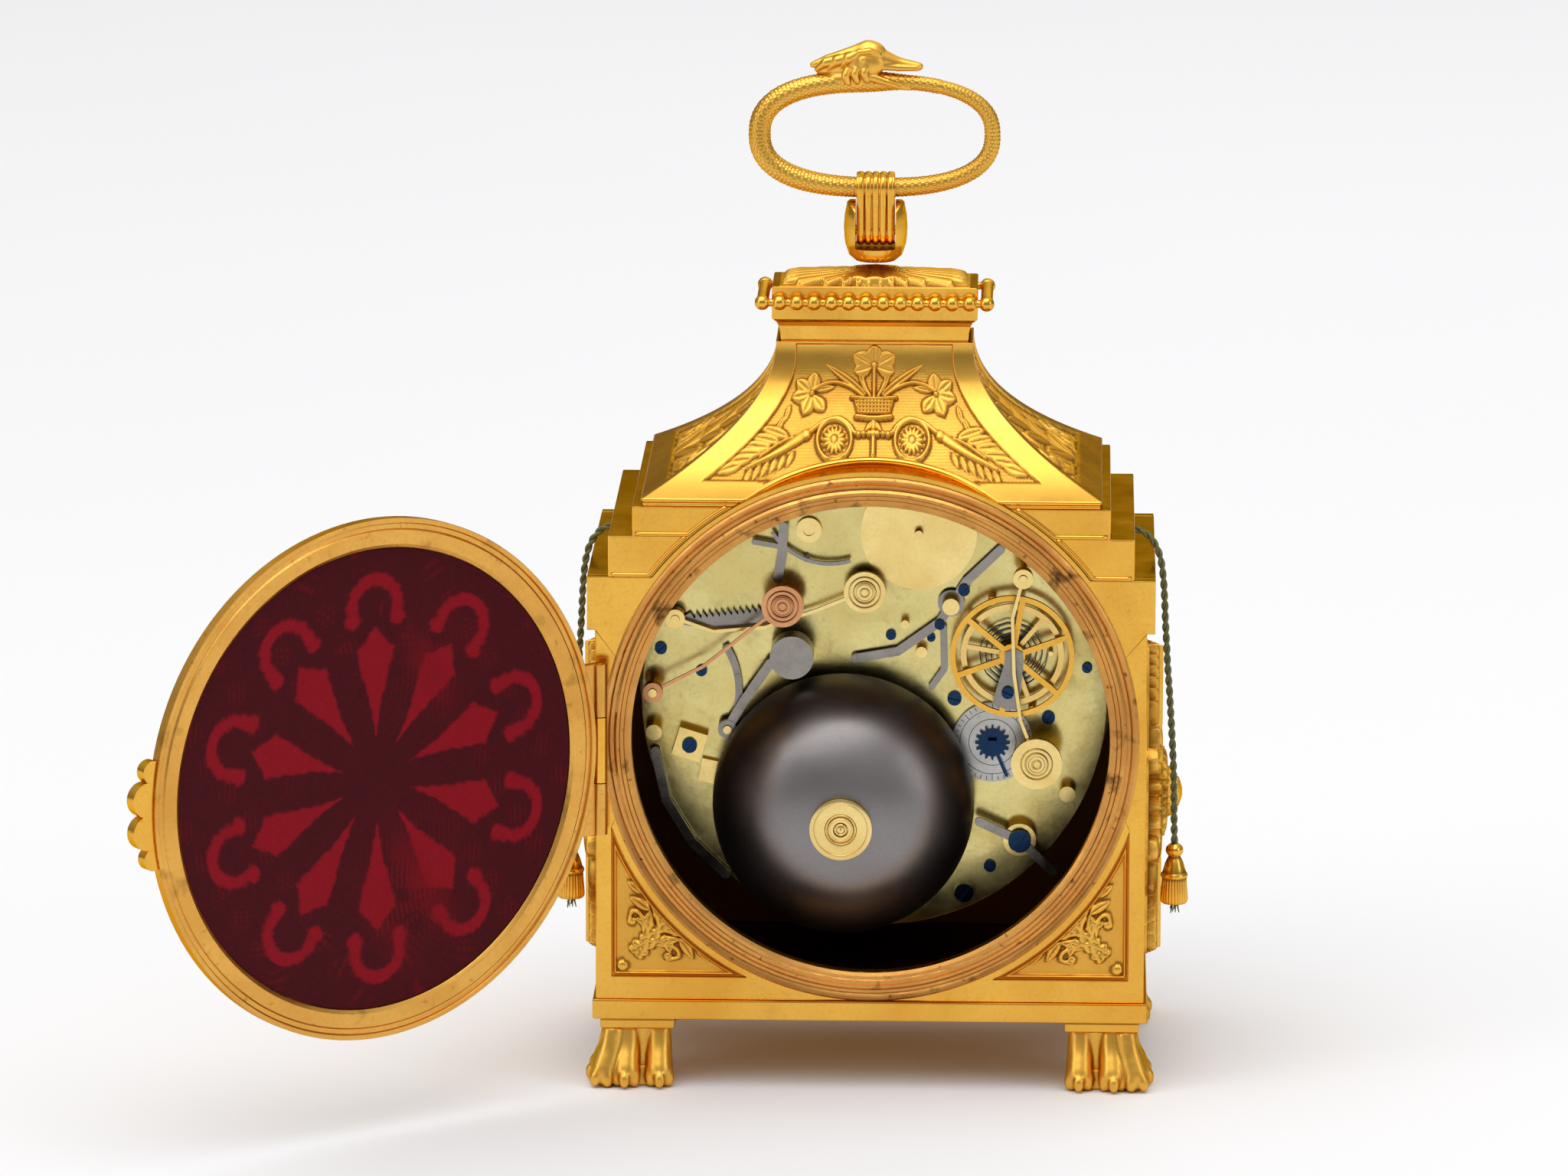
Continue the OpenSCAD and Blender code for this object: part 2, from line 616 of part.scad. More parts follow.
// A hand along one direction: a bar, a ring and a point
module hand(turn, ring_at, ring_r, length) {
    circle(2.6);
    rotate(turn) {
        bar2([0, 0], [ring_at - ring_r + 0.3, 0], 1.1);
        translate([ring_at, 0]) ring2(ring_r, ring_r - 0.9);
        polygon([[ring_at + ring_r - 0.3, -1.2], [length, 0], [ring_at + ring_r - 0.3, 1.2]]);
    }
}
hour_y = dial_y + 1.5;
minute_y = hour_y + 1.1;
module hour_hand() {
    color(blued) on_axis() difference() {
        union() {
            plate(hour_y, hour_y + 0.6) hand(120, 17, 3, 28);
            post(0, 0, 2.1, hour_wheel_y, hour_y + 0.1);
            plate(hour_wheel_y, hour_wheel_y + 0.9) wheel2(hour_n, hour_m, motion_a);
        }
        post(0, 0, 1.45, mfront_end - 1, hour_y + 3);
    }
}
module minute_hand() {
    color(blued) on_axis() difference() {
        union() {
            plate(minute_y, minute_y + 0.6) hand(60, 28, 2.4, 41);
            post(0, 0, 1.35, cannon_y, minute_y + 0.1);
            plate(cannon_y, cannon_y + 0.9) wheel2(cannon_n, cannon_m, motion_a);
        }
        post(0, 0, 0.8, mfront_end - 1, minute_y + 3);
    }
}
// Motion work between the two hands, on its own stud
module minute_wheel() {
    color(brass) on_axis() difference() {
        translate([motion_at[0], 0, motion_at[1]]) {
            plate(cannon_y + 0.1, cannon_y + 0.8) wheel2(minute_n, cannon_m, motion_a + 180 + 180 / minute_n);
            plate(cannon_y + 0.7, hour_wheel_y + 1.1) wheel2(motion_pin_n, hour_m, motion_a + 180 + 180 / motion_pin_n);
        }
        post(motion_at[0], motion_at[1], 0.65, mfront_end, dial_y);
    }
}
// ---------- movement ----------
module back_plate() {
    color(brass) on_axis() difference() {
        post(0, 0, mplate_r, mplate_y, mplate_y + mplate_t);
        for (p = [[0, 0], third_at, escape_at, barrel_at, strike_at]) pivot_hole(p, 0.75, mplate_y);
        for (p = [[bal_x, bal_z], pallet_at]) pivot_hole(p, 0.5, mplate_y);
    }
}
module front_plate() {
    color(brass) on_axis() {
        difference() {
            post(0, 0, mplate_r, mfront_y, mfront_end);
            for (p = [third_at, escape_at]) pivot_hole(p, 0.75, mfront_y);
            for (p = [[bal_x, bal_z], pallet_at]) pivot_hole(p, 0.5, mfront_y);
            for (p = [barrel_at, strike_at]) pivot_hole(p, 1.05, mfront_y);
            pivot_hole([0, 0], 0.85, mfront_y);
        }
        post(motion_at[0], motion_at[1], 0.6, mfront_end, hour_wheel_y + 1.3);
    }
}
// A pivot hole through a movement plate
module pivot_hole(at, r, y) { post(at[0], at[1], r, y - 1, y + mplate_t + 1); }
module plate_pillars() {
    color(brass) on_axis() for (a = [38, 142, 232, 308]) turned(44.5 * cos(a), 44.5 * sin(a))
        polygon([[0, mplate_y + mplate_t], [2.6, mplate_y + mplate_t], [2.6, mplate_y + mplate_t + 1.5],
            [1.7, mplate_y + mplate_t + 3], [2.1, mplate_y + mplate_t + mplate_gap / 2], [1.7, mfront_y - 3],
            [2.6, mfront_y - 1.5], [2.6, mfront_y], [0, mfront_y]]);
}
// Bell: outer and inner curves from the rim to the flat of its crown
bell_n = 22;
bell_power = 2.3;
bell_last = 84;
bell_hole = 2.1;
bell_crown = pow(sin(bell_last), 2 / bell_power);
bell_in_y = bell_y - (bell_h - bell_t) * bell_crown;
nut_y = bell_y - bell_h * bell_crown - 0.02;
function bell_curve(r, h) = [for (i = [0 : bell_n]) let (a = i * bell_last / bell_n)
    [r * pow(cos(a), 2 / bell_power), bell_y - h * pow(sin(a), 2 / bell_power)]];
module bell() {
    outer = bell_curve(bell_r, bell_h);
    inner = bell_curve(bell_r - bell_t, bell_h - bell_t);
    crown = [[bell_hole, outer[bell_n][1]], [bell_hole, inner[bell_n][1]]];
    color(bell_metal) on_axis() turned(bell_x, bell_z)
        polygon(concat(outer, crown, [for (i = [bell_n : -1 : 0]) inner[i]]));
}
module bell_stand() {
    color(steel) on_axis() turned(bell_x, bell_z) polygon([[0, mplate_y], [4, mplate_y], [4, mplate_y - 1.5],
        [2.4, mplate_y - 3], [2.4, bell_in_y + 0.02], [2, bell_in_y + 0.02], [2, nut_y], [0, nut_y]]);
}
module bell_nut() {
    color(brass) on_axis() turned(bell_x, bell_z) polygon([[0, nut_y], [4.2, nut_y], [4.6, nut_y - 0.3],
        [6.3, nut_y - 0.9], [6.55, nut_y - 1.3], [6.55, nut_y - 2.3], [3.4, nut_y - 2.4], [3.2, nut_y - 2],
        [2.8, nut_y - 2], [2.6, nut_y - 2.4], [1.6, nut_y - 2.4], [1.5, nut_y - 1.6], [0.9, nut_y - 1.6],
        [0.8, nut_y - 2.3], [0, nut_y - 2.4]]);
}
// Pierced round bridge over the balance, on two feet
bridge_y = -1.9;
module balance_bridge() {
    color(gilt) on_axis() {
        plate(bridge_y, bridge_y + 1) translate([bal_x, bal_z]) {
            ring2(13.1, 12);
            ring2(2.7, 0.5);
            for (i = [0 : 5]) rotate(20 + 60 * i) translate([2.2, -0.6]) square([10.2, 1.2]);
        }
        for (a = [110, 290]) post(bal_x + 12.55 * cos(a), bal_z + 12.55 * sin(a), 0.9, bridge_y + 0.9, mplate_y);
    }
}
module balance_wheel() {
    color(gilt) on_axis() {
        plate(0, 0.8) translate([bal_x, bal_z]) {
            ring2(10.9, 9.7);
            circle(1.6);
            for (i = [0 : 2]) rotate(120 * i + 50) translate([0, -0.5]) square([10, 1]);
        }
        post(bal_x, bal_z, 1.5, 0.7, 2.2);
        post(bal_x, bal_z, 0.45, bridge_y + 0.1, mfront_end - 0.4);
    }
}
// Flat spiral spring, as a thin ribbon of even pitch
spring_turns = 5;
spring_n = 90;
function spiral(off) = [for (i = [0 : spring_n]) let (a = i * 360 * spring_turns / spring_n, r = 1.6 + 5.9 * i / spring_n + off)
    [r * cos(a), r * sin(a)]];
module balance_spring() {
    outer = spiral(0.1);
    inner = spiral(-0.1);
    color(blued) on_axis() plate(1.4, 2.2) translate([bal_x, bal_z])
        polygon(concat(outer, [for (i = [spring_n : -1 : 0]) inner[i]]));
}
// Steel end piece over the balance pivot, held to the bridge by one screw
module end_piece() {
    color(steel) on_axis() plate(bridge_y - 0.5, bridge_y) translate([bal_x, bal_z])
        polygon([[-1.6, 1], [0.6, 1.9], [2.2, 1], [2.4, -1], [1.4, -11.3], [-1.4, -11.3], [-4.2, -10], [-1.6, -1.2]]);
}
// Pallet lever between the escape wheel and the balance
module pallet_lever() {
    along = unit([bal_x, bal_z] - escape_at);
    across = [-along[1], along[0]];
    color(steel) on_axis() {
        plate(escape_y, escape_y + 0.8) {
            bar2(pallet_at, pallet_at + 4 * along, 0.9);
            bar2(pallet_at - 2.8 * across, pallet_at + 2.8 * across, 0.9);
            for (s = [-1, 1]) bar2(pallet_at + 2.8 * s * across, pallet_at + 2.8 * s * across - 1.3 * along, 0.8);
        }
        arbor(pallet_at, 0.45, mplate_y + 0.3, mfront_end - 0.3);
    }
}
module regulator_disc() {
    color(silvered) on_axis() difference() {
        post(reg_x, reg_z, 8.6, 2.9, mplate_y);
        post(reg_x, reg_z, 1.05, 0, 8);
    }
}
module regulator_pointer() {
    color(blued) on_axis() {
        plate(2, 2.8) {
            translate([reg_x, reg_z]) wheel2(16, 0.42, 0);
            bar2([reg_x, reg_z], [reg_x + 3, reg_z - 7], 0.7);
        }
        plate(0.2, 2) translate([reg_x - 0.9, reg_z - 0.9]) square(1.8);
        post(reg_x, reg_z, 1, 2.8, mplate_y - 0.3);
    }
}
// A disc-ended hammer: a hollow post, a curved wire arm and a turned disc
module disc_hammer(at, pts, disc, r, y) {
    on_axis() {
        difference() {
            post(at[0], at[1], 2.1, y - 1.4, y + 1.4);
            post(at[0], at[1], 0.95, y - 2, y + 2);
        }
        difference() {
            plate(y - 0.35, y + 0.35) path2(concat([at], pts, [disc]), 0.7);
            post(at[0], at[1], 1.5, y - 1, y + 1);
        }
        post(disc[0], disc[1], r, y - 1.7, y - 0.2);
        post(disc[0], disc[1], r * 0.45, y - 2.1, y - 1.7);
    }
}
copper_at = [-46.6, 3];
upper_at = [-42, 18];
lower_at = [31.4, 28.6];
module hammer_copper() { color(copper) disc_hammer(copper_at, [[-36, 8.5]], [-19.2, 21.9], 4.45, -3.5); }
module hammer_brass_upper() {
    color(brass) disc_hammer(upper_at, [[-34, 15.2], [-23, 16.2], [-12, 20]], [-2, 24.2], 4.4, 0.6);
}
module hammer_brass_lower() { color(brass) disc_hammer(lower_at, [[29.2, 20], [29.6, 8], [31, -2]], [34.5, -11.2], 5.4, -5.6); }
hammer_at = [-31, -6];
module bell_hammer() {
    head = [-17.2, 11.4];
    color(steel) on_axis() difference() {
        union() {
            post(head[0], head[1], 4.6, -7.6, -1.6);
            plate(0.4, 1.6) path2([hammer_at, [-27.6, 0], [-22, 8.2], head], 2);
            post(head[0], head[1], 1.6, -1.7, 0.5);
            post(hammer_at[0], hammer_at[1], 2, 0.2, 1.8);
        }
        post(hammer_at[0], hammer_at[1], 0.95, -1, 3);
    }
}
// Toothed rack and its bar
module strike_rack() {
    n = 12;
    color(steel) on_axis() difference() {
        union() {
            plate(2.2, 3.2) polygon(concat([[-42, 16.4], [-41, 17.4]],
                [for (i = [0 : n - 1]) for (k = [0, 1]) [-39 + i * 1.3 + k * 1.1, 17.4 + i * 0.14 + (k == 0 ? 1.4 : 0)]],
                [[-22.6, 18.8], [-21.4, 16.4], [-30, 14.6]]));
            post(upper_at[0], upper_at[1], 2, 2.2, 3.2);
        }
        post(upper_at[0], upper_at[1], 0.95, 1, 4);
    }
}
long_lever_at = [16.2, 21.3];
module steel_levers() {
    studs = [[-19.2, 37.7], [-14.4, 30.7], [-28.9, 5], [26.6, 33], [-4, 9.2], [-38.6, -31]];
    color(steel) on_axis() difference() {
        union() {
            plate(1.1, 2) {
                path2([[-19.2, 37.7], [-19.6, 31], [-20.4, 26.6]], 2);
                path2([[-19.6, 33.4], [-25.4, 34.4]], 1.1);
                arc2([-9.5, 44], 14.2, 0.8, 212, 288);
            }
            plate(2.1, 3) {
                arc2([-46, 2], 17.4, 1.5, -20, 34);
                path2([[26.6, 33], [19.4, 26], [13.8, 17.2], [5, 10.8], [-4, 9.2]], 1.9);
                translate(long_lever_at) circle(2.8);
                path2([[14.6, 16], [14.8, 7], [12.2, 3.2]], 1.4);
                path2([[-46.4, -11.4], [-44, -22], [-38.6, -31], [-31.4, -38]], 2);
            }
            plate(collar_y - 0.7, collar_y) path2([[22.4, -25.4], [31, -29.4], [38, -36]], 1.9);
            for (p = studs) post(p[0], p[1], 0.7, 1.9, mplate_y);
        }
        post(long_lever_at[0], long_lever_at[1], 1.82, 1.5, 3.5);
    }
}
// Brass posts, cover disc, block, bracket and collar on the back plate: place, radius, depth of the end
collar_y = -0.2;
block_y = 0.6;
post_list = [[-46.5, -6.4, 1.7, -1.6], [long_lever_at[0], long_lever_at[1], 1.8, -1.6], [10, 11, 1.2, 0.5], [41, -19.3, 1.7, -0.6],
    [6.5, 17, 0.9, 0.5], [31, -29.4, 3.5, collar_y], [bal_x + 8.1, bal_z, 0.5, 1.2], [copper_at[0], copper_at[1], 0.9, -5.4],
    [upper_at[0], upper_at[1], 0.9, -1.2], [lower_at[0], lower_at[1], 0.9, -7.6], [hammer_at[0], hammer_at[1], 0.9, -0.4]];
module plate_fittings() {
    color(brass) on_axis() {
        for (p = post_list) post(p[0], p[1], p[2], p[3], mplate_y);
        post(9.3, 36.3, 12.3, 3.4, mplate_y);
        post(9.3, 36.3, 0.9, 0.8, 3.5);
        difference() {
            post(-13.9, 36.7, 2.7, 2.6, mplate_y);
            post(-13.9, 36.7, 1.2, 2, 3);
        }
        plate(block_y, mplate_y) translate([-39, -9.5]) rotate(-17) square(6.2, center = true);
        plate(2.4, mplate_y) translate([-35.2, -15.6]) rotate(-12) square([3.4, 5], center = true);
    }
}
// Blued screws: place, radius of the head and the depth of what it sits on
screw_list = [[18.9, 24.3, 1.25, 2.1], [13.8, 16.8, 1.1, 2.1], [12, 13.6, 0.9, mplate_y], [3.5, 14.1, 1.1, mplate_y],
    [17, 0.4, 1.5, mplate_y], [36.9, -3.6, 1.4, mplate_y], [19.2, -42, 2, mplate_y], [45, 7.3, 1.1, mplate_y],
    [24.7, -36, 1.3, mplate_y], [31, -29.4, 2.4, collar_y - 0.7], [-39, -9.5, 1.6, block_y], [28.3, 3.2, 1.3, bridge_y - 0.5],
    [-45.2, 10.8, 1.3, mplate_y], [-36.6, 6, 1.2, mplate_y]];
module blued_screws() {
    head_t = 0.9;
    color(blued) on_axis() for (s = screw_list) difference() {
        post(s[0], s[1], s[2], s[3] - head_t, s[3]);
        plate(s[3] - head_t - 1, s[3] - 0.5) translate([s[0], s[1]]) rotate(31 * s[0]) square([3 * s[2], 0.3 * s[2]], center = true);
    }
}
// ---------- going train, between the plates ----------
module arbor(at, r, y0, y1) { post(at[0], at[1], r, y0, y1); }
// Depths of the wheels: barrel teeth, centre wheel, third wheel and escape wheel
great_y = 13.4;
centre_y = 16;
third_y = 8.6;
escape_y = 11;
// Winding squares end below the hands, flush with the dial
module winding_square(at) { plate(26, 28.9) translate(at) square(1.4, center = true); }
module going_barrel() {
    color(brass) on_axis() {
        arbor(barrel_at, 16.2, 6.6, great_y);
        plate(great_y, great_y + 1.6) translate(barrel_at) wheel2(barrel_n, barrel_m, 20 + 180 / barrel_n);
        arbor(barrel_at, 0.7, mplate_y + 0.3, 6.7);
        arbor(barrel_at, 1, great_y + 1.5, 26.1);
        winding_square(barrel_at);
    }
}
module strike_barrel() {
    color(brass) on_axis() {
        arbor(strike_at, 14.2, 6.6, 12.8);
        arbor(strike_at, 0.7, mplate_y + 0.3, 6.7);
        arbor(strike_at, 1, 12.7, 26.1);
        winding_square(strike_at);
    }
}
module centre_wheel() {
    color(brass) on_axis() {
        plate(great_y - 0.3, great_y + 1.9) wheel2(centre_pin_n, barrel_m, 20);
        plate(centre_y, centre_y + 0.9) crossed(centre_n, centre_m, -20, 5, 2.4);
        arbor([0, 0], 0.7, mplate_y + 0.3, 21);
        arbor([0, 0], 1.7, great_y + 1.8, centre_y + 0.1);
        arbor([0, 0], 0.8, 20.9, minute_y + 0.9);
    }
}
module third_wheel() {
    color(brass) on_axis() {
        plate(centre_y - 0.4, centre_y + 1.3) translate(third_at) wheel2(third_pin_n, centre_m, 160 + 180 / third_pin_n);
        plate(third_y, third_y + 0.9) translate(third_at) crossed(third_n, third_m, 60, 4, 2.2);
        arbor(third_at, 0.7, mplate_y + 0.3, mfront_end - 0.3);
    }
}
module escape_wheel() {
    color(brass) on_axis() {
        plate(third_y - 0.3, third_y + 1.2) translate(escape_at) wheel2(escape_pin_n, third_m, 240 + 180 / escape_pin_n);
        plate(escape_y, escape_y + 0.7) translate(escape_at) polygon([for (i = [0 : 14]) each
            [for (k = [[0, 2.7], [0.35, 4], [0.5, 2.7]]) let (a = (i + k[0]) * 24) k[1] * [cos(a), sin(a)]]]);
        arbor(escape_at, 0.7, mplate_y + 0.3, mfront_end - 0.3);
    }
}
// ---------- pull cords ----------
// Route of the right cord in X and Z: out of the step, over the shoulder and down past the side mount
route = [[45, 115.3], [48, 115.3], [51, 115.3], [53, 115.3], [54.8, 115.2], [56.6, 114.6], [58.2, 113.2], [59.5, 111], [60.3, 108.2],
    [60.8, 104.5], [61.1, 100], [61.3, 95.5], [61.6, 90.5], [61.9, 85.5], [62.3, 80.5], [62.7, 74.5], [63.1, 68], [63.4, 61.5],
    [63.5, 55.5], [63.6, 50.5], [63.7, 47.6]];
tassel_x = 63.7;
module cord() {
    color(cord_green) tube([for (p = route) [p[0], cord_y, p[1]]], [for (p = route) cord_r], 8);
}
module pull_cord_right() { cord(); }
module pull_cord_left() { mirror([1, 0, 0]) cord(); }
module tassel() {
    color(gilt) translate([tassel_x, cord_y, 0]) rotate_extrude() polygon([[0, 34.8], [2.9, 34.8], [2.95, 35.4], [2.7, 40.4],
        [2.8, 40.9], [2.5, 41.4], [1.9, 43.6], [1.4, 44.6], [1.5, 45.2], [1.9, 46.2], [1.5, 47.2], [0.9, 47.6], [0, 47.6]]);
}
module tassel_right() { tassel(); }
module tassel_left() { mirror([1, 0, 0]) tassel(); }

base_plinth();
back_panel();
front_panel();
left_panel();
right_panel();
shoulder_steps();
roof_shell();
top_plate();
bead_rails();
petal_cap();
handle_fork();
fork_pin();
handle_strap();
serpent_handle();
paw_feet();
side_mounts();
rear_bezel();
case_hinges();
hinge_pins();
door_frame();
door_fret();
door_silk();
door_catch();
front_bezel();
front_glass();
dial();
dial_ring();
hour_hand();
minute_hand();
minute_wheel();
back_plate();
front_plate();
plate_pillars();
bell();
bell_stand();
bell_nut();
balance_bridge();
balance_wheel();
balance_spring();
end_piece();
pallet_lever();
regulator_disc();
regulator_pointer();
hammer_copper();
hammer_brass_upper();
hammer_brass_lower();
bell_hammer();
strike_rack();
steel_levers();
plate_fittings();
blued_screws();
going_barrel();
strike_barrel();
centre_wheel();
third_wheel();
escape_wheel();
pull_cord_left();
pull_cord_right();
tassel_left();
tassel_right();
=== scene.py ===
"""Gilt carriage clock with its rear door open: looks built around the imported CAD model.

Lengths in this script are millimetres until mesh_piece() turns them into metres.
+Z is up, the rear (door and bell) faces -Y, the dial faces +Y.
"""

import math

import bmesh
import bpy
import numpy as np
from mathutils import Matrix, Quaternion, Vector


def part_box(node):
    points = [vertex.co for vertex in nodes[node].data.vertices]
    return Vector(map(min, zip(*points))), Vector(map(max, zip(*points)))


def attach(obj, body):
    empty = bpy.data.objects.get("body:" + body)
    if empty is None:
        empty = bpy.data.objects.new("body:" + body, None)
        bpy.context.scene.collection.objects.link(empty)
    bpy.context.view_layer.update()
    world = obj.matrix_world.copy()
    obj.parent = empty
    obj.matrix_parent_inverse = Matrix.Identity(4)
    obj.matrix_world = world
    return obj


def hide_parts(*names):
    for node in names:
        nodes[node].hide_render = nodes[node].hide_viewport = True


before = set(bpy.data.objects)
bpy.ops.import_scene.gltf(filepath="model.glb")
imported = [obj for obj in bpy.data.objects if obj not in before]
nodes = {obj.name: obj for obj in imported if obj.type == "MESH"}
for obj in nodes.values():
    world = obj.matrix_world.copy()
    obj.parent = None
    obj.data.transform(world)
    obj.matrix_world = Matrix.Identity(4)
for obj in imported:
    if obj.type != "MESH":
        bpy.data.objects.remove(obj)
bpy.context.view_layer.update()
scene = bpy.context.scene
MM = 0.001

# ---------------------------------------------------------------- camera
CAMERA_AT = (0.0410, -2.0353, 0.5483)
CAMERA_LOOKS = (-0.0288, 0.97617, -0.21511)
CAMERA_ROLL = -0.0019


def make_camera():
    data = bpy.data.cameras.new("camera")
    data.lens = 227
    data.sensor_width = 36
    data.clip_start = 0.05
    camera = bpy.data.objects.new("camera", data)
    scene.collection.objects.link(camera)
    look = Vector(CAMERA_LOOKS).normalized()
    turn = Quaternion(look, CAMERA_ROLL) @ look.to_track_quat("-Z", "Y")
    camera.location = CAMERA_AT
    camera.rotation_mode = "QUATERNION"
    camera.rotation_quaternion = turn
    scene.camera = camera


make_camera()


# ---------------------------------------------------------------- mesh helpers
def mesh_piece(name, verts, faces, material, smooth=True, mm=True):
    """A mesh object from points and faces, with its material."""
    points = np.asarray(verts, float).reshape(-1, 3)
    if mm:
        points = points * MM
    data = bpy.data.meshes.new(name)
    data.from_pydata(points.tolist(), [], [list(map(int, f)) for f in faces])
    data.validate()
    data.update()
    if smooth:
        data.polygons.foreach_set("use_smooth", [True] * len(data.polygons))
    obj = bpy.data.objects.new(name, data)
    scene.collection.objects.link(obj)
    data.materials.append(material)
    return obj


def outward(obj):
    """Turns every face of a closed mesh outward."""
    bm = bmesh.new()
    bm.from_mesh(obj.data)
    bmesh.ops.recalc_face_normals(bm, faces=bm.faces)
    bm.to_mesh(obj.data)
    bm.free()
    return obj


def set_attribute(obj, name, values):
    layer = obj.data.attributes.get(name) or obj.data.attributes.new(name, "FLOAT", "POINT")
    layer.data.foreach_set("value", np.asarray(values, np.float32))


def add_crevices(obj, spread=6, depth=0.12):
    """Marks each point by how far it lies in a hollow (cav) or on a ridge (edge); the metals paint shade into the
    hollows by cav.
    """
    data = obj.data
    n = len(data.vertices)
    co = np.empty(n * 3)
    data.vertices.foreach_get("co", co)
    co = co.reshape(-1, 3)
    normal = np.empty(n * 3)
    data.vertices.foreach_get("normal", normal)
    normal = normal.reshape(-1, 3)
    ends = np.empty(len(data.edges) * 2, int)
    data.edges.foreach_get("vertices", ends)
    ends = ends.reshape(-1, 2)
    count = np.maximum(np.bincount(ends.ravel(), minlength=n), 1)
    soft = co.copy()
    for _ in range(spread):
        total = np.empty_like(soft)
        for k in range(3):
            total[:, k] = np.bincount(
                ends[:, 0], soft[ends[:, 1], k], n
            ) + np.bincount(ends[:, 1], soft[ends[:, 0], k], n)
        soft = 0.5 * soft + 0.5 * total / count[:, None]
    hollow = ((soft - co) * normal).sum(1) / (depth * MM)
    set_attribute(obj, "cav", np.clip(hollow, 0, 1))
    set_attribute(obj, "edge", np.clip(-hollow, 0, 1))
    return obj


def grid_faces(nu, nv, wrap_u=False, wrap_v=False, start=0):
    """Quads of a grid of nu by nv points, counted along v first."""
    faces = []
    for i in range(nu if wrap_u else nu - 1):
        a = start + i * nv
        b = start + ((i + 1) % nu) * nv
        for j in range(nv if wrap_v else nv - 1):
            k = (j + 1) % nv
            faces.append((a + j, b + j, b + k, a + k))
    return faces


def raised_solid(name, top, low, material, step=8):
    """A closed solid: a fine upper surface (nu, nv, 3), and under its border a coarser lower one."""
    nu, nv = top.shape[:2]
    verts = list(top.reshape(-1, 3))
    faces = grid_faces(nu, nv)
    index = {}

    def lower(i, j):
        if (i, j) not in index:
            index[(i, j)] = len(verts)
            verts.append(low[i, j])
        return index[(i, j)]

    rim = [(i, 0) for i in range(nu)] + [(nu - 1, j) for j in range(1, nv)]
    rim += [(i, nv - 1) for i in range(nu - 2, -1, -1)] + [(0, j) for j in range(nv - 2, 0, -1)]
    for a, b in zip(rim, rim[1:] + rim[:1]):
        faces.append((a[0] * nv + a[1], lower(*a), lower(*b), b[0] * nv + b[1]))
    us = sorted(set(list(range(0, nu - 1, step)) + [nu - 1]))
    vs = sorted(set(list(range(0, nv - 1, step)) + [nv - 1]))
    for i0, i1 in zip(us, us[1:]):
        for j0, j1 in zip(vs, vs[1:]):
            loop = [(i, j0) for i in (range(i0, i1) if j0 == 0 else [i0])]
            loop += [(i1, j) for j in (range(j0, j1) if i1 == nu - 1 else [j0])]
            loop += [(i, j1) for i in (range(i1, i0, -1) if j1 == nv - 1 else [i1])]
            loop += [(i0, j) for j in (range(j1, j0, -1) if i0 == 0 else [j1])]
            faces.append([lower(*p) for p in reversed(loop)])
    return outward(mesh_piece(name, verts, faces, material))


def lathe(name, profile, material, sides=64, center=(0, 0), flute=None):
    """A closed turned solid about a vertical axis; the profile starts and ends on the axis."""
    inner = profile[1:-1]
    verts = []
    for r, z in inner:
        for k in range(sides):
            a = 2 * math.pi * k / sides
            rr = r + (flute(a, z) if flute else 0)
            verts.append((center[0] + rr * math.cos(a), center[1] + rr * math.sin(a), z))
    faces = grid_faces(len(inner), sides, wrap_v=True)
    for (r, z), ring in ((profile[0], 0), (profile[-1], len(inner) - 1)):
        tip = len(verts)
        verts.append((center[0], center[1], z))
        for k in range(sides):
            faces.append((ring * sides + k, ring * sides + (k + 1) % sides, tip))
    return outward(mesh_piece(name, verts, faces, material))


def sweep(points, radii, sides, closed=False, up=(0, 1, 0), bump=None):
    """Points and faces of a tube along a list of points."""
    pts = np.asarray(points, float)
    n = len(pts)
    ahead = np.roll(pts, -1, 0) - np.roll(pts, 1, 0)
    if not closed:
        ahead[0], ahead[-1] = pts[1] - pts[0], pts[-1] - pts[-2]
    ahead /= np.linalg.norm(ahead, axis=1)[:, None]
    side = np.empty_like(pts)
    last = np.asarray(up, float)
    for i in range(n):
        last = last - ahead[i] * last.dot(ahead[i])
        last /= np.linalg.norm(last)
        side[i] = last
    third = np.cross(ahead, side)
    angle = 2 * np.pi * np.arange(sides) / sides
    radius = np.broadcast_to(np.asarray(radii, float)[:, None], (n, sides)).copy()
    if bump is not None:
        radius += bump
    verts = pts[:, None] + radius[..., None] * (
        np.cos(angle)[None, :, None] * side[:, None] + np.sin(angle)[None, :, None] * third[:, None]
    )
    faces = grid_faces(n, sides, wrap_u=closed, wrap_v=True)
    verts = verts.reshape(-1, 3)
    if not closed:
        faces.append(list(range(sides)))
        faces.append(list(range((n - 1) * sides, n * sides)))
    return verts, faces


def smooth_path(points, step):
    """Even points along a smooth curve through a list of points."""
    pts = np.asarray(points, float)
    pts = np.vstack([2 * pts[0] - pts[1], pts, 2 * pts[-1] - pts[-2]])
    dense = []
    for i in range(1, len(pts) - 2):
        for t in np.linspace(0, 1, 16, endpoint=False):
            p0, p1, p2, p3 = pts[i - 1 : i + 3]
            dense.append(
                0.5 * (
                    2 * p1 + (p2 - p0) * t + (
                        2 * p0 - 5 * p1 + 4 * p2 - p3
                    ) * t * t + (3 * p1 - p0 - 3 * p2 + p3) * t ** 3
                )
            )
    dense.append(pts[-2])
    dense = np.array(dense)
    along = np.concatenate([[0], np.cumsum(np.linalg.norm(np.diff(dense, axis=0), axis=1))])
    even = np.linspace(0, along[-1], max(2, int(round(along[-1] / step)) + 1))
    return np.stack([np.interp(even, along, dense[:, k]) for k in range(3)], 1), along[-1]


def join_parts(parts):
    """One list of points and faces from several."""
    verts, faces = [], []
    for v, f in parts:
        start = sum(len(x) for x in verts)
        verts.append(np.asarray(v, float))
        faces += [[start + i for i in face] for face in f]
    return np.vstack(verts), faces


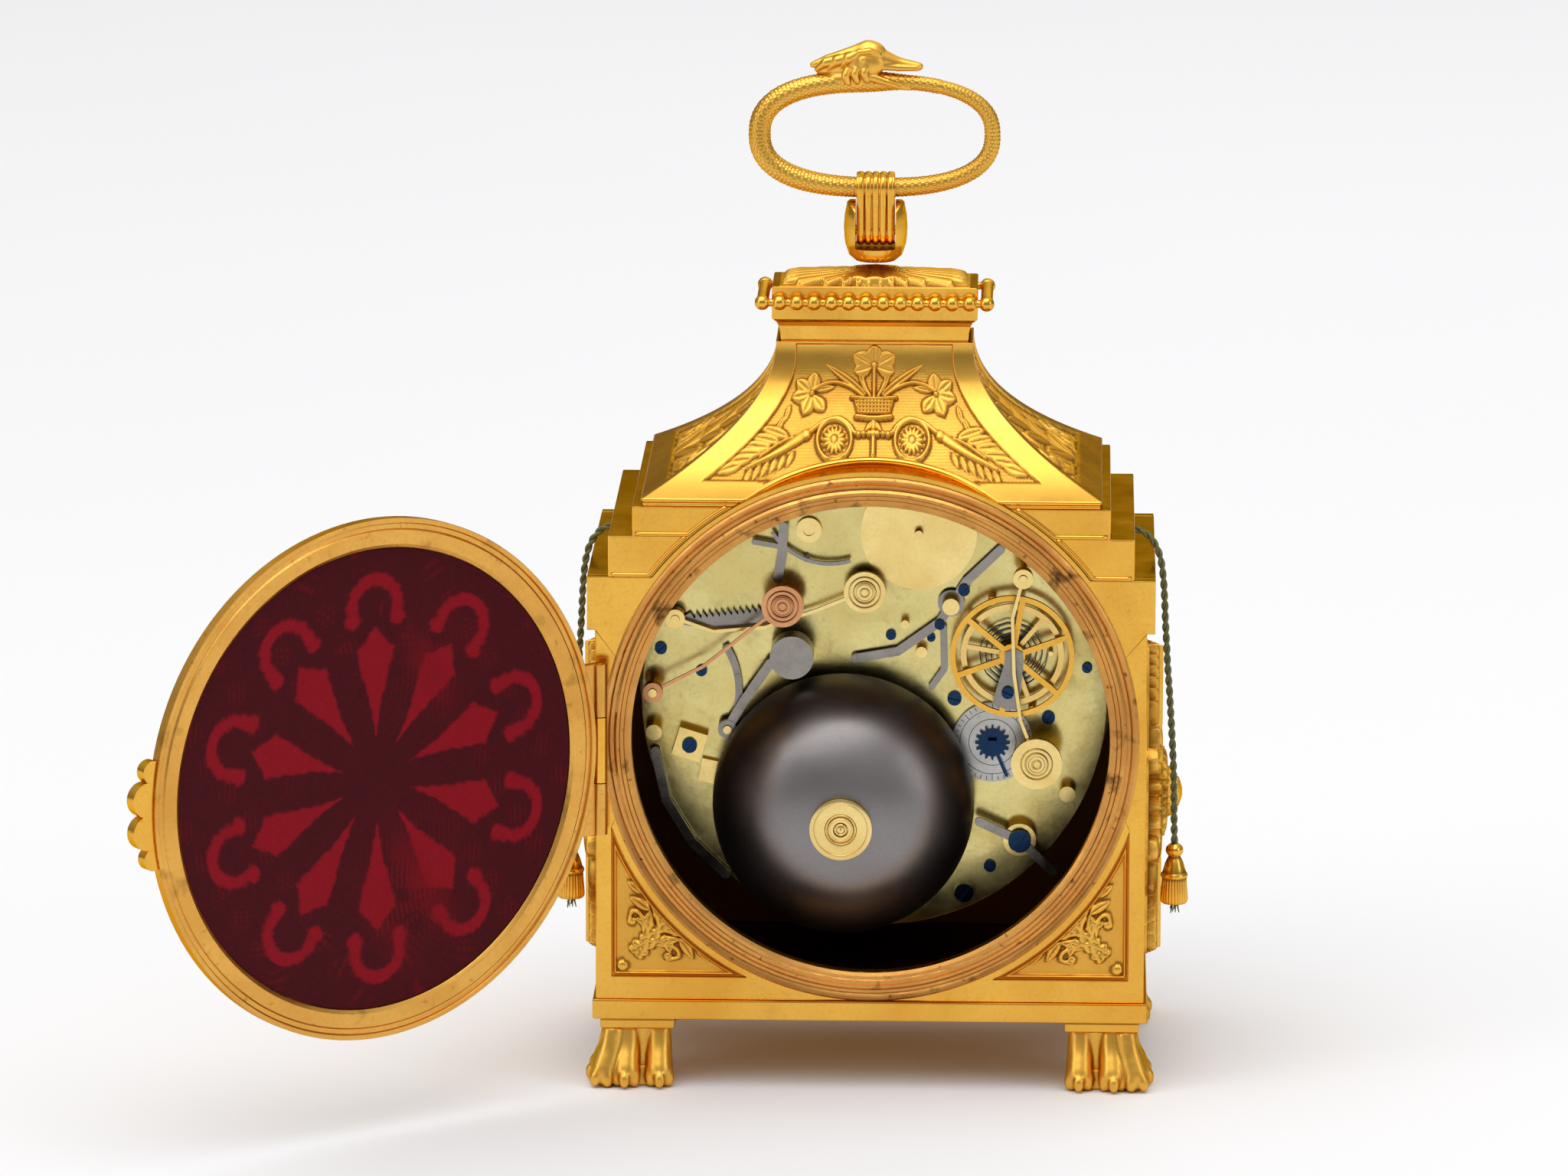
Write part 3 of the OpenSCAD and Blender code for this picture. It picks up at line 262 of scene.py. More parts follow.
def ball(center, radius):
    """A ball or ellipsoid for sculpt()."""
    return ("ball", center, (radius,) * 3 if np.isscalar(radius) else radius)


def limb(points, radii, count=10):
    """Balls along a path, close enough to melt into one limb."""
    out = []
    for (a, b), (ra, rb) in zip(zip(points, points[1:]), zip(radii, radii[1:])):
        for t in np.linspace(0, 1, count):
            out.append(ball(tuple(np.array(a) * (1 - t) + np.array(b) * t), ra * (1 - t) + rb * t))
    return out


def finish_relief(piece, matt_values, spread, depth, replaces=None):
    """The lines that every relief casting ends with."""
    matt = np.zeros(len(piece.data.vertices))
    matt[: np.size(matt_values)] = np.ravel(matt_values)
    set_attribute(piece, "matt", matt)
    add_crevices(piece, spread, depth)
    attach(piece, "case")
    if replaces:
        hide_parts(replaces)


def surface_nets(field, low, step):
    """Points and quads of the surface where a grid of distances crosses zero."""
    inside = field < 0
    shape = np.array(field.shape) - 1
    total = np.zeros((*shape, 3))
    count = np.zeros(shape)
    for axis in range(3):
        others = [k for k in range(3) if k != axis]
        near = [slice(None)] * 3
        far = [slice(None)] * 3
        near[axis], far[axis] = slice(0, -1), slice(1, None)
        fa, fb = field[tuple(near)], field[tuple(far)]
        cross = inside[tuple(near)] != inside[tuple(far)]
        t = np.where(cross, fa / np.where(cross, fa - fb, 1), 0)
        for du in (0, 1):
            for dv in (0, 1):
                cut = [slice(None)] * 3
                cut[others[0]] = slice(du, du + shape[others[0]])
                cut[others[1]] = slice(dv, dv + shape[others[1]])
                c = cross[tuple(cut)]
                count += c
                total[..., axis] += np.where(c, t[tuple(cut)], 0)
                total[..., others[0]] += np.where(c, du, 0)
                total[..., others[1]] += np.where(c, dv, 0)
    used = count > 0
    number = np.full(shape, -1)
    number[used] = np.arange(used.sum())
    cells = np.argwhere(used)
    points = low + step * (cells + total[used] / count[used][:, None])
    faces = []
    for axis in range(3):
        u, v = (axis + 1) % 3, (axis + 2) % 3
        near = [slice(None)] * 3
        far = [slice(None)] * 3
        near[axis], far[axis] = slice(0, -1), slice(1, None)
        a, b = inside[tuple(near)], inside[tuple(far)]
        for at, flip in ((np.argwhere(a & ~b), False), (np.argwhere(~a & b), True)):
            at = at[(at[:, u] > 0) & (at[:, v] > 0)]
            quad = []
            for du, dv in ((-1, -1), (0, -1), (0, 0), (-1, 0)):
                cell = at.copy()
                cell[:, u] += du
                cell[:, v] += dv
                quad.append(number[tuple(cell.T)])
            quad = np.stack(quad, 1)
            faces.append(quad[:, ::-1] if flip else quad)
    return points, np.vstack(faces)


def sculpt(name, shapes, step, melt, material):
    """One organic solid: balls and boxes melted together over a distance melt, in millimetres."""
    centers = np.array([s[1] for s in shapes], float)
    reach = np.array([max(s[2]) for s in shapes])[:, None]
    low = (centers - reach).min(0) - 4 * step
    high = (centers + reach).max(0) + 4 * step
    count = np.ceil((high - low) / step).astype(int) + 1
    axes = [low[k] + step * np.arange(count[k]) for k in range(3)]
    total = np.zeros(count)
    for kind, center, size in shapes:
        margin = 1.8 * max(size) + 8 * melt
        part = [np.nonzero(np.abs(axes[k] - center[k]) < margin)[0] for k in range(3)]
        cut = tuple(slice(p[0], p[-1] + 1) for p in part)
        px, py, pz = np.meshgrid(*[axes[k][cut[k]] - center[k] for k in range(3)], indexing="ij")
        if kind == "ball":
            k0 = np.sqrt((px / size[0]) ** 2 + (py / size[1]) ** 2 + (pz / size[2]) ** 2)
            k1 = np.sqrt((px / size[0] ** 2) ** 2 + (py / size[1] ** 2) ** 2 + (pz / size[2] ** 2) ** 2)
            d = k0 * (k0 - 1) / np.maximum(k1, 1e-6)
        else:
            q = [np.abs(p) - s for p, s in zip((px, py, pz), size)]
            d = np.sqrt(sum(np.maximum(p, 0) ** 2 for p in q)) + np.minimum(
                np.maximum(np.maximum(q[0], q[1]), q[2]), 0
            )
        total[cut] += np.exp(-np.clip(d, -12 * melt, 12 * melt) / melt)
    field = -melt * np.log(np.maximum(total, 1e-9))
    points, faces = surface_nets(field, low, step)
    return outward(mesh_piece(name, points, faces, material))


# ---------------------------------------------------------------- materials
class Graph:
    """A small helper that wires one material's nodes."""

    def __init__(self, name):
        self.material = bpy.data.materials.new(name)
        self.material.use_nodes = True
        self.tree = self.material.node_tree
        self.tree.nodes.clear()
        self.coord = self.node("ShaderNodeTexCoord").outputs["Object"]

    def node(self, kind, inputs=None, **settings):
        made = self.tree.nodes.new(kind)
        for key, value in settings.items():
            setattr(made, key, value)
        for key, value in (inputs or {}).items():
            self.put(made.inputs[key], value)
        return made

    def put(self, socket, value):
        if isinstance(value, bpy.types.NodeSocket):
            self.tree.links.new(value, socket)
        elif value is not None:
            socket.default_value = value

    def noise(self, scale, detail=3, coord=None, distortion=0.0):
        made = self.node(
            "ShaderNodeTexNoise",
            {"Vector": coord or self.coord, "Scale": scale, "Detail": detail, "Distortion": distortion}
        )
        return made.outputs["Fac"]

    def stretched(self, scale):
        return self.node("ShaderNodeMapping", {"Vector": self.coord, "Scale": scale}).outputs["Vector"]

    def span(self, value, low, high, to_low=0.0, to_high=1.0):
        made = self.node("ShaderNodeMapRange", {0: value, 1: low, 2: high, 3: to_low, 4: to_high})
        return made.outputs[0]

    def math(self, operation, a, b=0.0):
        return self.node("ShaderNodeMath", {0: a, 1: b}, operation=operation).outputs[0]

    def mix(self, fac, a, b):
        made = self.node("ShaderNodeMix", {0: fac}, data_type="RGBA")
        self.put(made.inputs[6], (*a, 1) if isinstance(a, tuple) else a)
        self.put(made.inputs[7], (*b, 1) if isinstance(b, tuple) else b)
        return made.outputs[2]

    def attribute(self, name):
        return self.node("ShaderNodeAttribute", attribute_name=name).outputs["Fac"]

    def attribute_vector(self, name):
        return self.node("ShaderNodeAttribute", attribute_name=name).outputs["Vector"]

    def bump(self, height, distance, normal=None, strength=1.0):
        made = self.node("ShaderNodeBump", {"Height": height, "Distance": distance * MM, "Strength": strength})
        if normal is not None:
            self.put(made.inputs["Normal"], normal)
        return made.outputs["Normal"]

    def surface(self, **inputs):
        shader = self.node("ShaderNodeBsdfPrincipled")
        for key, value in inputs.items():
            self.put(shader.inputs[key.replace("_", " ")], value)
        out = self.node("ShaderNodeOutputMaterial")
        self.tree.links.new(shader.outputs[0], out.inputs["Surface"])
        return self.material


def case_inside(g):
    """1 on the faces inside the case, which get painted shade and a rougher surface, 0 outside it."""
    part = g.node("ShaderNodeSeparateXYZ", {0: g.coord}).outputs
    across = g.math("ABSOLUTE", part["X"])
    deep = g.math("ABSOLUTE", part["Y"])
    over = g.math("MAXIMUM", g.math("SUBTRACT", part["Z"], 0.075), 0.0)
    round_top = g.math("SQRT", g.math("ADD", g.math("POWER", across, 2.0), g.math("POWER", over, 2.0)))
    within = g.math("MULTIPLY", g.math("LESS_THAN", round_top, 0.0561), g.math("LESS_THAN", deep, 0.0329))
    return g.math("MULTIPLY", within, g.math("GREATER_THAN", part["Z"], 0.0188))


GOLD_EDGE = (0.72, 0.47, 0.17)
STEEL_EDGE = (0.8, 0.8, 0.8)


def metal(
    name, base, warm, dark, rough, rough_span, patch=45, grain=1400, grain_mm=0.006, spots=0.0, matt=None,
    streak=0.0, edge_tint=GOLD_EDGE, inside=False
):
    """Metal with patches of tone, uneven polish, fine grain, painted shade in the hollows and rubbed ridges."""
    g = Graph(name)
    tone = g.span(g.noise(patch, 5, distortion=0.6), 0.38, 0.68)
    fine = g.noise(grain, 3)
    color = g.mix(g.math("MULTIPLY", tone, 0.7), base, warm)
    color = g.mix(g.span(fine, 0.45, 0.8, 0, 0.35), color, warm)
    if spots:
        specks = g.span(g.noise(520, 2), 0.66, 0.74)
        blots = g.span(g.noise(150, 3), 0.62, 0.72)
        worn = g.math("MULTIPLY", g.math("MAXIMUM", g.math("MULTIPLY", specks, 0.8), blots), spots)
        color = g.mix(worn, color, dark)
    # painted shade: points deep in a hollow (attribute cav) are mixed towards the dark colour
    hollow = g.attribute("cav")
    color = g.mix(g.math("MULTIPLY", hollow, 0.8), color, dark)
    if inside:
        indoors = case_inside(g)
        # painted shade: faces inside the case are mixed towards dark brown
        color = g.mix(indoors, color, (0.15, 0.068, 0.024))
    color = g.mix(g.math("MULTIPLY", g.attribute("edge"), 0.35), color, base)
    uneven = g.span(g.noise(patch * 2.3, 4), 0.3, 0.7, rough - rough_span, rough + rough_span)
    rub = g.math("ADD", uneven, g.span(fine, 0.3, 0.8, -0.02, 0.04))
    if streak:
        lines = g.noise(1, 2, g.stretched((60, 60, 5200)))
        rub = g.math("ADD", rub, g.span(lines, 0.3, 0.7, -streak, streak))
    height = fine
    if matt is not None:
        is_matt = g.attribute("matt")
        rub = g.math("ADD", rub, g.math("MULTIPLY", is_matt, matt))
        dots = g.noise(2600, 1)
        height = g.math(
            "ADD", g.math("MULTIPLY", fine, 0.3), g.math("MULTIPLY", g.math("MULTIPLY", dots, is_matt), 3.0)
        )
    rub = g.math("ADD", rub, g.math("MULTIPLY", hollow, 0.15))
    if inside:
        rub = g.math("ADD", rub, g.math("MULTIPLY", indoors, 0.18))
    normal = g.bump(height, grain_mm)
    if streak:
        normal = g.bump(lines, grain_mm * 0.5, normal)
    return g.surface(Base_Color=color, Metallic=1.0, Roughness=rub, Normal=normal, Specular_Tint=(*edge_tint, 1))


GOLD = (0.84, 0.47, 0.075)
GOLD_WARM = (0.70, 0.33, 0.04)
GOLD_DARK = (0.13, 0.05, 0.009)
M = {
    "polished_gilt": metal("polished_gilt", GOLD, GOLD_WARM, GOLD_DARK, 0.21, 0.07, streak=0.03),
    "case_gilt": metal("case_gilt", GOLD, GOLD_WARM, GOLD_DARK, 0.21, 0.07, streak=0.03, spots=0.12, inside=True),
    "door_gilt": metal(
        "door_gilt", (0.78, 0.42, 0.09), (0.64, 0.30, 0.055), (0.10, 0.04, 0.01), 0.3, 0.08, patch=60, grain=1100,
        grain_mm=0.01, spots=0.35
    ),
    "matt_gilt": metal(
        "matt_gilt", (0.86, 0.50, 0.09), (0.74, 0.37, 0.05), GOLD_DARK, 0.34, 0.05, grain=1900, grain_mm=0.02
    ),
    "relief_gilt": metal(
        "relief_gilt", (0.86, 0.49, 0.085), (0.75, 0.37, 0.05), GOLD_DARK, 0.24, 0.05, grain=1500, grain_mm=0.01,
        matt=0.3
    ),
    "worn_gilt": metal(
        "worn_gilt", (0.68, 0.34, 0.085), (0.50, 0.22, 0.055), (0.07, 0.03, 0.012), 0.3, 0.08, patch=70, grain=900,
        grain_mm=0.012, spots=0.9
    ),
    "pale_brass": metal(
        "pale_brass", (0.70, 0.60, 0.25), (0.56, 0.43, 0.13), (0.16, 0.12, 0.03), 0.2, 0.07, patch=60, spots=0.25
    ),
    "yellow_brass": metal(
        "yellow_brass", (0.88, 0.68, 0.27), (0.74, 0.51, 0.15), (0.13, 0.08, 0.02), 0.19, 0.05, patch=90
    ),
    "gilt_wheel": metal("gilt_wheel", (0.86, 0.62, 0.22), (0.74, 0.46, 0.12), GOLD_DARK, 0.24, 0.05, patch=80),
    "polished_steel": metal(
        "polished_steel", (0.30, 0.28, 0.25), (0.21, 0.19, 0.165), (0.07, 0.06, 0.05), 0.22, 0.07, patch=90,
        streak=0.02, spots=0.2, edge_tint=STEEL_EDGE
    ),
    "bell_metal": metal(
        "bell_metal", (0.28, 0.262, 0.262), (0.21, 0.19, 0.185), (0.06, 0.05, 0.05), 0.37, 0.05, patch=28,
        grain=2200, grain_mm=0.004, edge_tint=STEEL_EDGE
    ),
    "blued_steel": metal(
        "blued_steel", (0.012, 0.040, 0.095), (0.016, 0.026, 0.06), (0.01, 0.01, 0.02), 0.2, 0.05, patch=120,
        edge_tint=STEEL_EDGE
    ),
    "copper": metal("copper", (0.70, 0.36, 0.17), (0.58, 0.26, 0.11), (0.14, 0.06, 0.03), 0.23, 0.05, patch=120),
    "silvered_brass": metal(
        "silvered_brass", (0.60, 0.60, 0.58), (0.47, 0.45, 0.40), (0.12, 0.11, 0.09), 0.33, 0.05, patch=120,
        spots=0.2, edge_tint=STEEL_EDGE
    ),
}


def enamel():
    g = Graph("white_enamel")
    haze = g.span(g.noise(70, 4), 0.35, 0.7)
    color = g.mix(haze, (0.86, 0.85, 0.80), (0.80, 0.78, 0.71))
    return g.surface(
        Base_Color=color, Roughness=g.span(haze, 0, 1, 0.08, 0.16), Coat_Weight=0.6, Coat_Roughness=0.05,
        Normal=g.bump(g.noise(160, 2), 0.01)
    )


def ink():
    g = Graph("dial_ink")
    wear = g.noise(900, 2)
    return g.surface(
        Base_Color=g.mix(wear, (0.010, 0.010, 0.014), (0.03, 0.03, 0.035)),
        Roughness=g.span(wear, 0.3, 0.7, 0.25, 0.45)
    )


def glass():
    g = Graph("clear_glass")
    ripple = g.noise(40, 2)
    return g.surface(
        Base_Color=(0.97, 0.99, 0.98, 1), Roughness=g.span(ripple, 0.3, 0.7, 0.0, 0.02), Transmission_Weight=1.0,
        IOR=1.45, Alpha=0.22, Normal=g.bump(ripple, 0.01)
    )


def silk():
    """Dark crimson silk; the attribute 'lit' marks where light comes through the fret, 'blot' its stains."""
    g = Graph("crimson_silk")
    weft = g.node(
        "ShaderNodeTexWave", {"Vector": g.attribute_vector("weave"), "Scale": 1.0, "Distortion": 0.6, "Detail": 2.0},
        bands_direction="Y"
    ).outputs["Fac"]
    warp = g.node(
        "ShaderNodeTexWave", {"Vector": g.attribute_vector("weave"), "Scale": 1.3, "Distortion": 0.4, "Detail": 1.0},
        bands_direction="X"
    ).outputs["Fac"]
    weave = g.math("ADD", g.math("MULTIPLY", weft, 0.65), g.math("MULTIPLY", warp, 0.35))
    lit = g.attribute("lit")
    slub = g.noise(
        1, 3,
        g.node(
            "ShaderNodeMapping", {"Vector": g.attribute_vector("weave"), "Scale": (0.25, 4.0, 1.0)}
        ).outputs["Vector"]
    )
    dark = g.mix(g.span(slub, 0.3, 0.7), (0.052, 0.0016, 0.0045), (0.092, 0.0030, 0.0085))
    bright = g.mix(g.span(slub, 0.3, 0.7), (0.27, 0.0022, 0.0090), (0.36, 0.0042, 0.0160))
    color = g.mix(lit, dark, bright)
    color = g.mix(g.math("MULTIPLY", g.attribute("blot"), 0.75), color, (0.25, 0.002, 0.008))
    color = g.mix(g.span(weave, 0.35, 0.75, 0.28, 0.0), color, (0.025, 0.001, 0.003))
    return g.surface(
        Base_Color=color, Roughness=g.span(weave, 0.2, 0.8, 0.75, 0.55), Sheen_Weight=0.03, Sheen_Roughness=0.4,
        Specular_IOR_Level=0.12, Normal=g.bump(weave, 0.05)
    )


def cord_fabric():
    """Green cord of fine yarn, with a few gold threads."""
    g = Graph("green_cord")
    yarn = g.noise(1, 2, g.stretched((5200, 5200, 1600)))
    color = g.mix(g.span(yarn, 0.3, 0.7), (0.070, 0.078, 0.030), (0.20, 0.21, 0.095))
    color = g.mix(g.span(g.noise(1500, 2), 0.60, 0.72, 0, 0.5), color, (0.22, 0.17, 0.06))
    return g.surface(
        Base_Color=color, Roughness=0.85, Sheen_Weight=0.08, Sheen_Roughness=0.5, Specular_IOR_Level=0.15,
        Normal=g.bump(yarn, 0.08)
    )


M["white_enamel"] = enamel()
M["dial_ink"] = ink()
M["clear_glass"] = glass()
M["crimson_silk"] = silk()
M["green_cord"] = cord_fabric()

# ---------------------------------------------------------------- CAD nodes: materials and soft edges
NODE_FINISH = {
    "case_gilt": "base_plinth back_panel front_panel left_panel right_panel shoulder_steps roof_shell",
    "door_gilt": "door_frame",
    "polished_gilt": "top_plate bead_rails handle_fork fork_pin handle_strap case_hinges hinge_pins door_catch "
    "front_bezel "
    "balance_bridge tassel_left tassel_right paw_feet",
    "matt_gilt": "petal_cap serpent_handle side_mounts door_fret",
    "worn_gilt": "rear_bezel",
    "yellow_brass": "bell_nut hammer_brass_upper hammer_brass_lower plate_fittings",
    "pale_brass": "dial_ring minute_wheel back_plate front_plate plate_pillars going_barrel strike_barrel "
    "centre_wheel third_wheel escape_wheel",
    "gilt_wheel": "balance_wheel",
    "polished_steel": "bell_stand end_piece pallet_lever bell_hammer strike_rack steel_levers",
    "bell_metal": "bell",
    "blued_steel": "hour_hand minute_hand balance_spring regulator_pointer blued_screws",
    "copper": "hammer_copper",
    "silvered_brass": "regulator_disc",
    "white_enamel": "dial",
    "clear_glass": "front_glass",
    "crimson_silk": "door_silk",
    "green_cord": "pull_cord_left pull_cord_right",
}
SOFT_EDGE = {
    "base_plinth": 0.35, "back_panel": 0.2, "front_panel": 0.2, "left_panel": 0.25, "right_panel": 0.25,
    "shoulder_steps": 0.3, "roof_shell": 0.2, "top_plate": 0.35, "handle_fork": 0.3, "handle_strap": 0.28,
    "door_frame": 0.2, "door_catch": 0.4, "rear_bezel": 0.12, "balance_bridge": 0.1, "bell_hammer": 0.25,
    "hammer_copper": 0.1, "hammer_brass_upper": 0.1, "hammer_brass_lower": 0.1, "bell_nut": 0.15, "bell": 0.1,
    "plate_fittings": 0.15, "blued_screws": 0.1, "steel_levers": 0.12, "front_bezel": 0.2, "back_plate": 0.12,
}
for finish, names in NODE_FINISH.items():
    for name in names.split():
        node = nodes[name]
        node.data.materials.clear()
        node.data.materials.append(M[finish])
        weld = node.modifiers.new("weld", "WELD")
        weld.merge_threshold = 0.002 * MM
        if name in SOFT_EDGE:
            soft = node.modifiers.new("soft_edge", "BEVEL")
            soft.width = SOFT_EDGE[name] * MM
            soft.segments = 2
            soft.limit_method = "ANGLE"
            soft.angle_limit = math.radians(32)
            soft.miter_outer = "MITER_ARC"
        shade = node.modifiers.new("shade", "WEIGHTED_NORMAL")
        shade.keep_sharp = True
        shade.weight = 60

# ---------------------------------------------------------------- pull cords and tassels
CORD_Y = -10
CORD_ROUTE = [
    (45, 115.3), (48, 115.3), (51, 115.3), (53, 115.3), (54.8, 115.2), (56.6, 114.6), (58.2, 113.2), (59.5, 111),
    (60.3, 108.2), (60.8, 104.5), (61.1, 100), (61.3, 95.5), (61.6, 90.5), (61.9, 85.5), (62.3, 80.5), (62.7, 74.5),
    (63.1, 68), (63.4, 61.5), (63.5, 55.5), (63.6, 50.5), (63.7, 47.6),
]
PLY_PITCH = 4.6
PLY_OFFSET = 0.37
PLY_R = 0.40
TASSEL_X = 63.7


def twisted_cord(name, side):
    """A two-ply cord: two yarns wound round the route."""
    path, length = smooth_path([(side * x, CORD_Y, z) for x, z in CORD_ROUTE], 0.22)
    ahead = np.gradient(path, axis=0)
    ahead /= np.linalg.norm(ahead, axis=1)[:, None]
    across = np.tile([0.0, 1.0, 0.0], (len(path), 1))
    third = np.cross(ahead, across)
    along = np.linspace(0, length, len(path))
    plies = []
    for k in range(2):
        phase = 2 * np.pi * along / PLY_PITCH + k * np.pi
        center = path + PLY_OFFSET * (np.cos(phase)[:, None] * across + np.sin(phase)[:, None] * third)
        plies.append(sweep(center, np.full(len(path), PLY_R), 10))
    verts, faces = join_parts(plies)
    cord = outward(mesh_piece(name, verts, faces, M["green_cord"]))
    return cord, path, length


TASSEL_PROFILE = [
    (0, 34.8), (2.55, 34.8), (2.85, 35.1), (2.93, 35.8), (2.8, 37.5), (2.66, 39.4), (2.6, 40.2), (2.78, 40.5),
    (2.86, 40.8),
    (2.8, 41.1), (2.6, 41.35), (2.45, 41.6), (2.2, 42.5), (1.9, 43.5), (1.6, 44.2), (1.3, 44.7), (
        1.25, 44.95
    ), (1.5, 45.25),
    (1.78, 45.7), (1.88, 46.2), (1.78, 46.7), (1.5, 47.1), (1.05, 47.45), (0.9, 47.6), (0, 47.6),
]


def tassel(name, side):
    """A turned tassel whose skirt is cut into fine pleats."""
    def pleats(angle, z):
        return 0.09 * (math.cos(26 * angle) - 1) if 34.9 < z < 40.3 else 0.0

    piece = lathe(name, TASSEL_PROFILE, M["polished_gilt"], 156, (side * TASSEL_X, CORD_Y), pleats)
    return add_crevices(piece, 3, 0.05)


def tassel_fringe(name, side):
    """The frayed end of the cord below its tassel."""
    parts = []
    for k in range(9):
        a = 2 * math.pi * k / 9
        out = 0.28 + 0.14 * (k % 3)
        low = 32.5 + 0.45 * ((k * 5) % 4)
        points = [
            (
                side * TASSEL_X + out * f * math.cos(a + 0.5 * f), CORD_Y + out * f * math.sin(a + 0.5 * f),
                35.2 + (low - 35.2) * t
            )
            for t, f in zip(np.linspace(0, 1, 8), np.linspace(0.9, 2.0, 8))
        ]
        parts.append(sweep(points, np.linspace(0.24, 0.1, 8), 7))
    verts, faces = join_parts(parts)
    return outward(mesh_piece(name, verts, faces, M["green_cord"]))


for label, side in (("left", -1), ("right", 1)):
    body = "pull_" + label
    cord, cord_path, cord_length = twisted_cord("pull_cord_twist_" + label, side)
    skirt = tassel("tassel_turned_" + label, side)
    fringe = tassel_fringe("tassel_fringe_" + label, side)
    for piece in (cord, skirt, fringe):
        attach(piece, body)
    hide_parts("pull_cord_" + label)
    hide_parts("tassel_" + label)


# ---------------------------------------------------------------- relief drawing
def ease(t):
    t = np.clip(t, 0, 1)
    return t * t * (3 - 2 * t)


class Relief:
    """Heights in millimetres over points of a flat drawing (x right, z up)."""

    def __init__(self, x, z):
        self.x, self.z = x, z
        self.h = np.zeros_like(x)

    def put(self, height):
        self.h = np.maximum(self.h, height)

    def dome(self, inside, tall, edge=0.5):
        """A raised form from inside, 1 at its middle and 0 at its outline, with a steep edge."""
        rim = ease(inside / 0.22)
        self.put(tall * rim * (edge + (1 - edge) * np.sqrt(np.clip(inside, 0, 1))))

    def disc(self, c, r, tall, edge=0.4):
        d = np.hypot(self.x - c[0], self.z - c[1])
        self.dome(1 - d / r, tall, edge)

    def ring(self, c, r, w, tall):
        d = np.abs(np.hypot(self.x - c[0], self.z - c[1]) - r)
        self.dome(1 - d / (w / 2), tall)

    def leaf(self, base, angle, length, width, tall, vein=0.35, blunt=0.75, bend=0.0):
        """A petal or leaf from its base along an angle in degrees; blunt moves its widest place outward."""
        a = math.radians(angle)
        dx, dz = self.x - base[0], self.z - base[1]
        u = (dx * math.cos(a) + dz * math.sin(a)) / length
        v = -dx * math.sin(a) + dz * math.cos(a)
        v = v - bend * length * u * u
        uc = np.clip(u, 1e-6, 1)
        half = width / 2 * np.sin(math.pi * uc ** blunt) ** 0.8 + 1e-6
        inside = np.where((u > 0) & (u < 1), 1 - np.abs(v) / half, 0)
        groove = 1 - vein * np.exp(-((v / (0.09 * width + 0.05)) ** 2)) * (inside > 0)
        ribs = 1 - 0.10 * (np.cos(v / half * 9.0) > 0.6) * (inside > 0.1)
        rim = ease(inside / 0.25)
        self.put(tall * rim * (0.55 + 0.45 * np.sqrt(np.clip(inside, 0, 1))) * groove * ribs)

    def stem(self, points, w0, w1, tall):
        """A round stem through a list of points, w0 wide at its start and w1 at its end."""
        path, _ = smooth_path([(p[0], 0, p[1]) for p in points], 0.5)
        n = len(path) - 1
        for i in range(n):
            a, b = path[i], path[i + 1]
            w = w0 + (w1 - w0) * (i + 0.5) / n
            near = (np.abs(self.x - a[0]) < w + 1) & (np.abs(self.z - a[2]) < w + 1)
            if not near.any():
                continue
            px, pz = self.x[near] - a[0], self.z[near] - a[2]
            ex, ez = b[0] - a[0], b[2] - a[2]
            t = np.clip((px * ex + pz * ez) / (ex * ex + ez * ez + 1e-9), 0, 1)
            d = np.hypot(px - t * ex, pz - t * ez)
            inside = 1 - d / (w / 2)
            self.h[near] = np.maximum(
                self.h[near], tall * ease(inside / 0.25) * (0.5 + 0.5 * np.sqrt(np.clip(inside, 0, 1)))
            )

    def flower(self, c, size, petals, turn, tall, skip=()):
        for k in range(petals):
            if k in skip:
                continue
            self.leaf(c, turn + k * 360 / petals, size, size * 0.95, tall * (0.86 + 0.07 * (k % 3)), 0.25, 1.35)
        self.disc(c, size * 0.17, tall * 1.15, 0.6)


def mirrored(draw, relief):
    """Draws a motif twice: as it is, and mirrored about x = 0."""
    draw(relief)
    relief.x = -relief.x
    draw(relief)
    relief.x = -relief.x


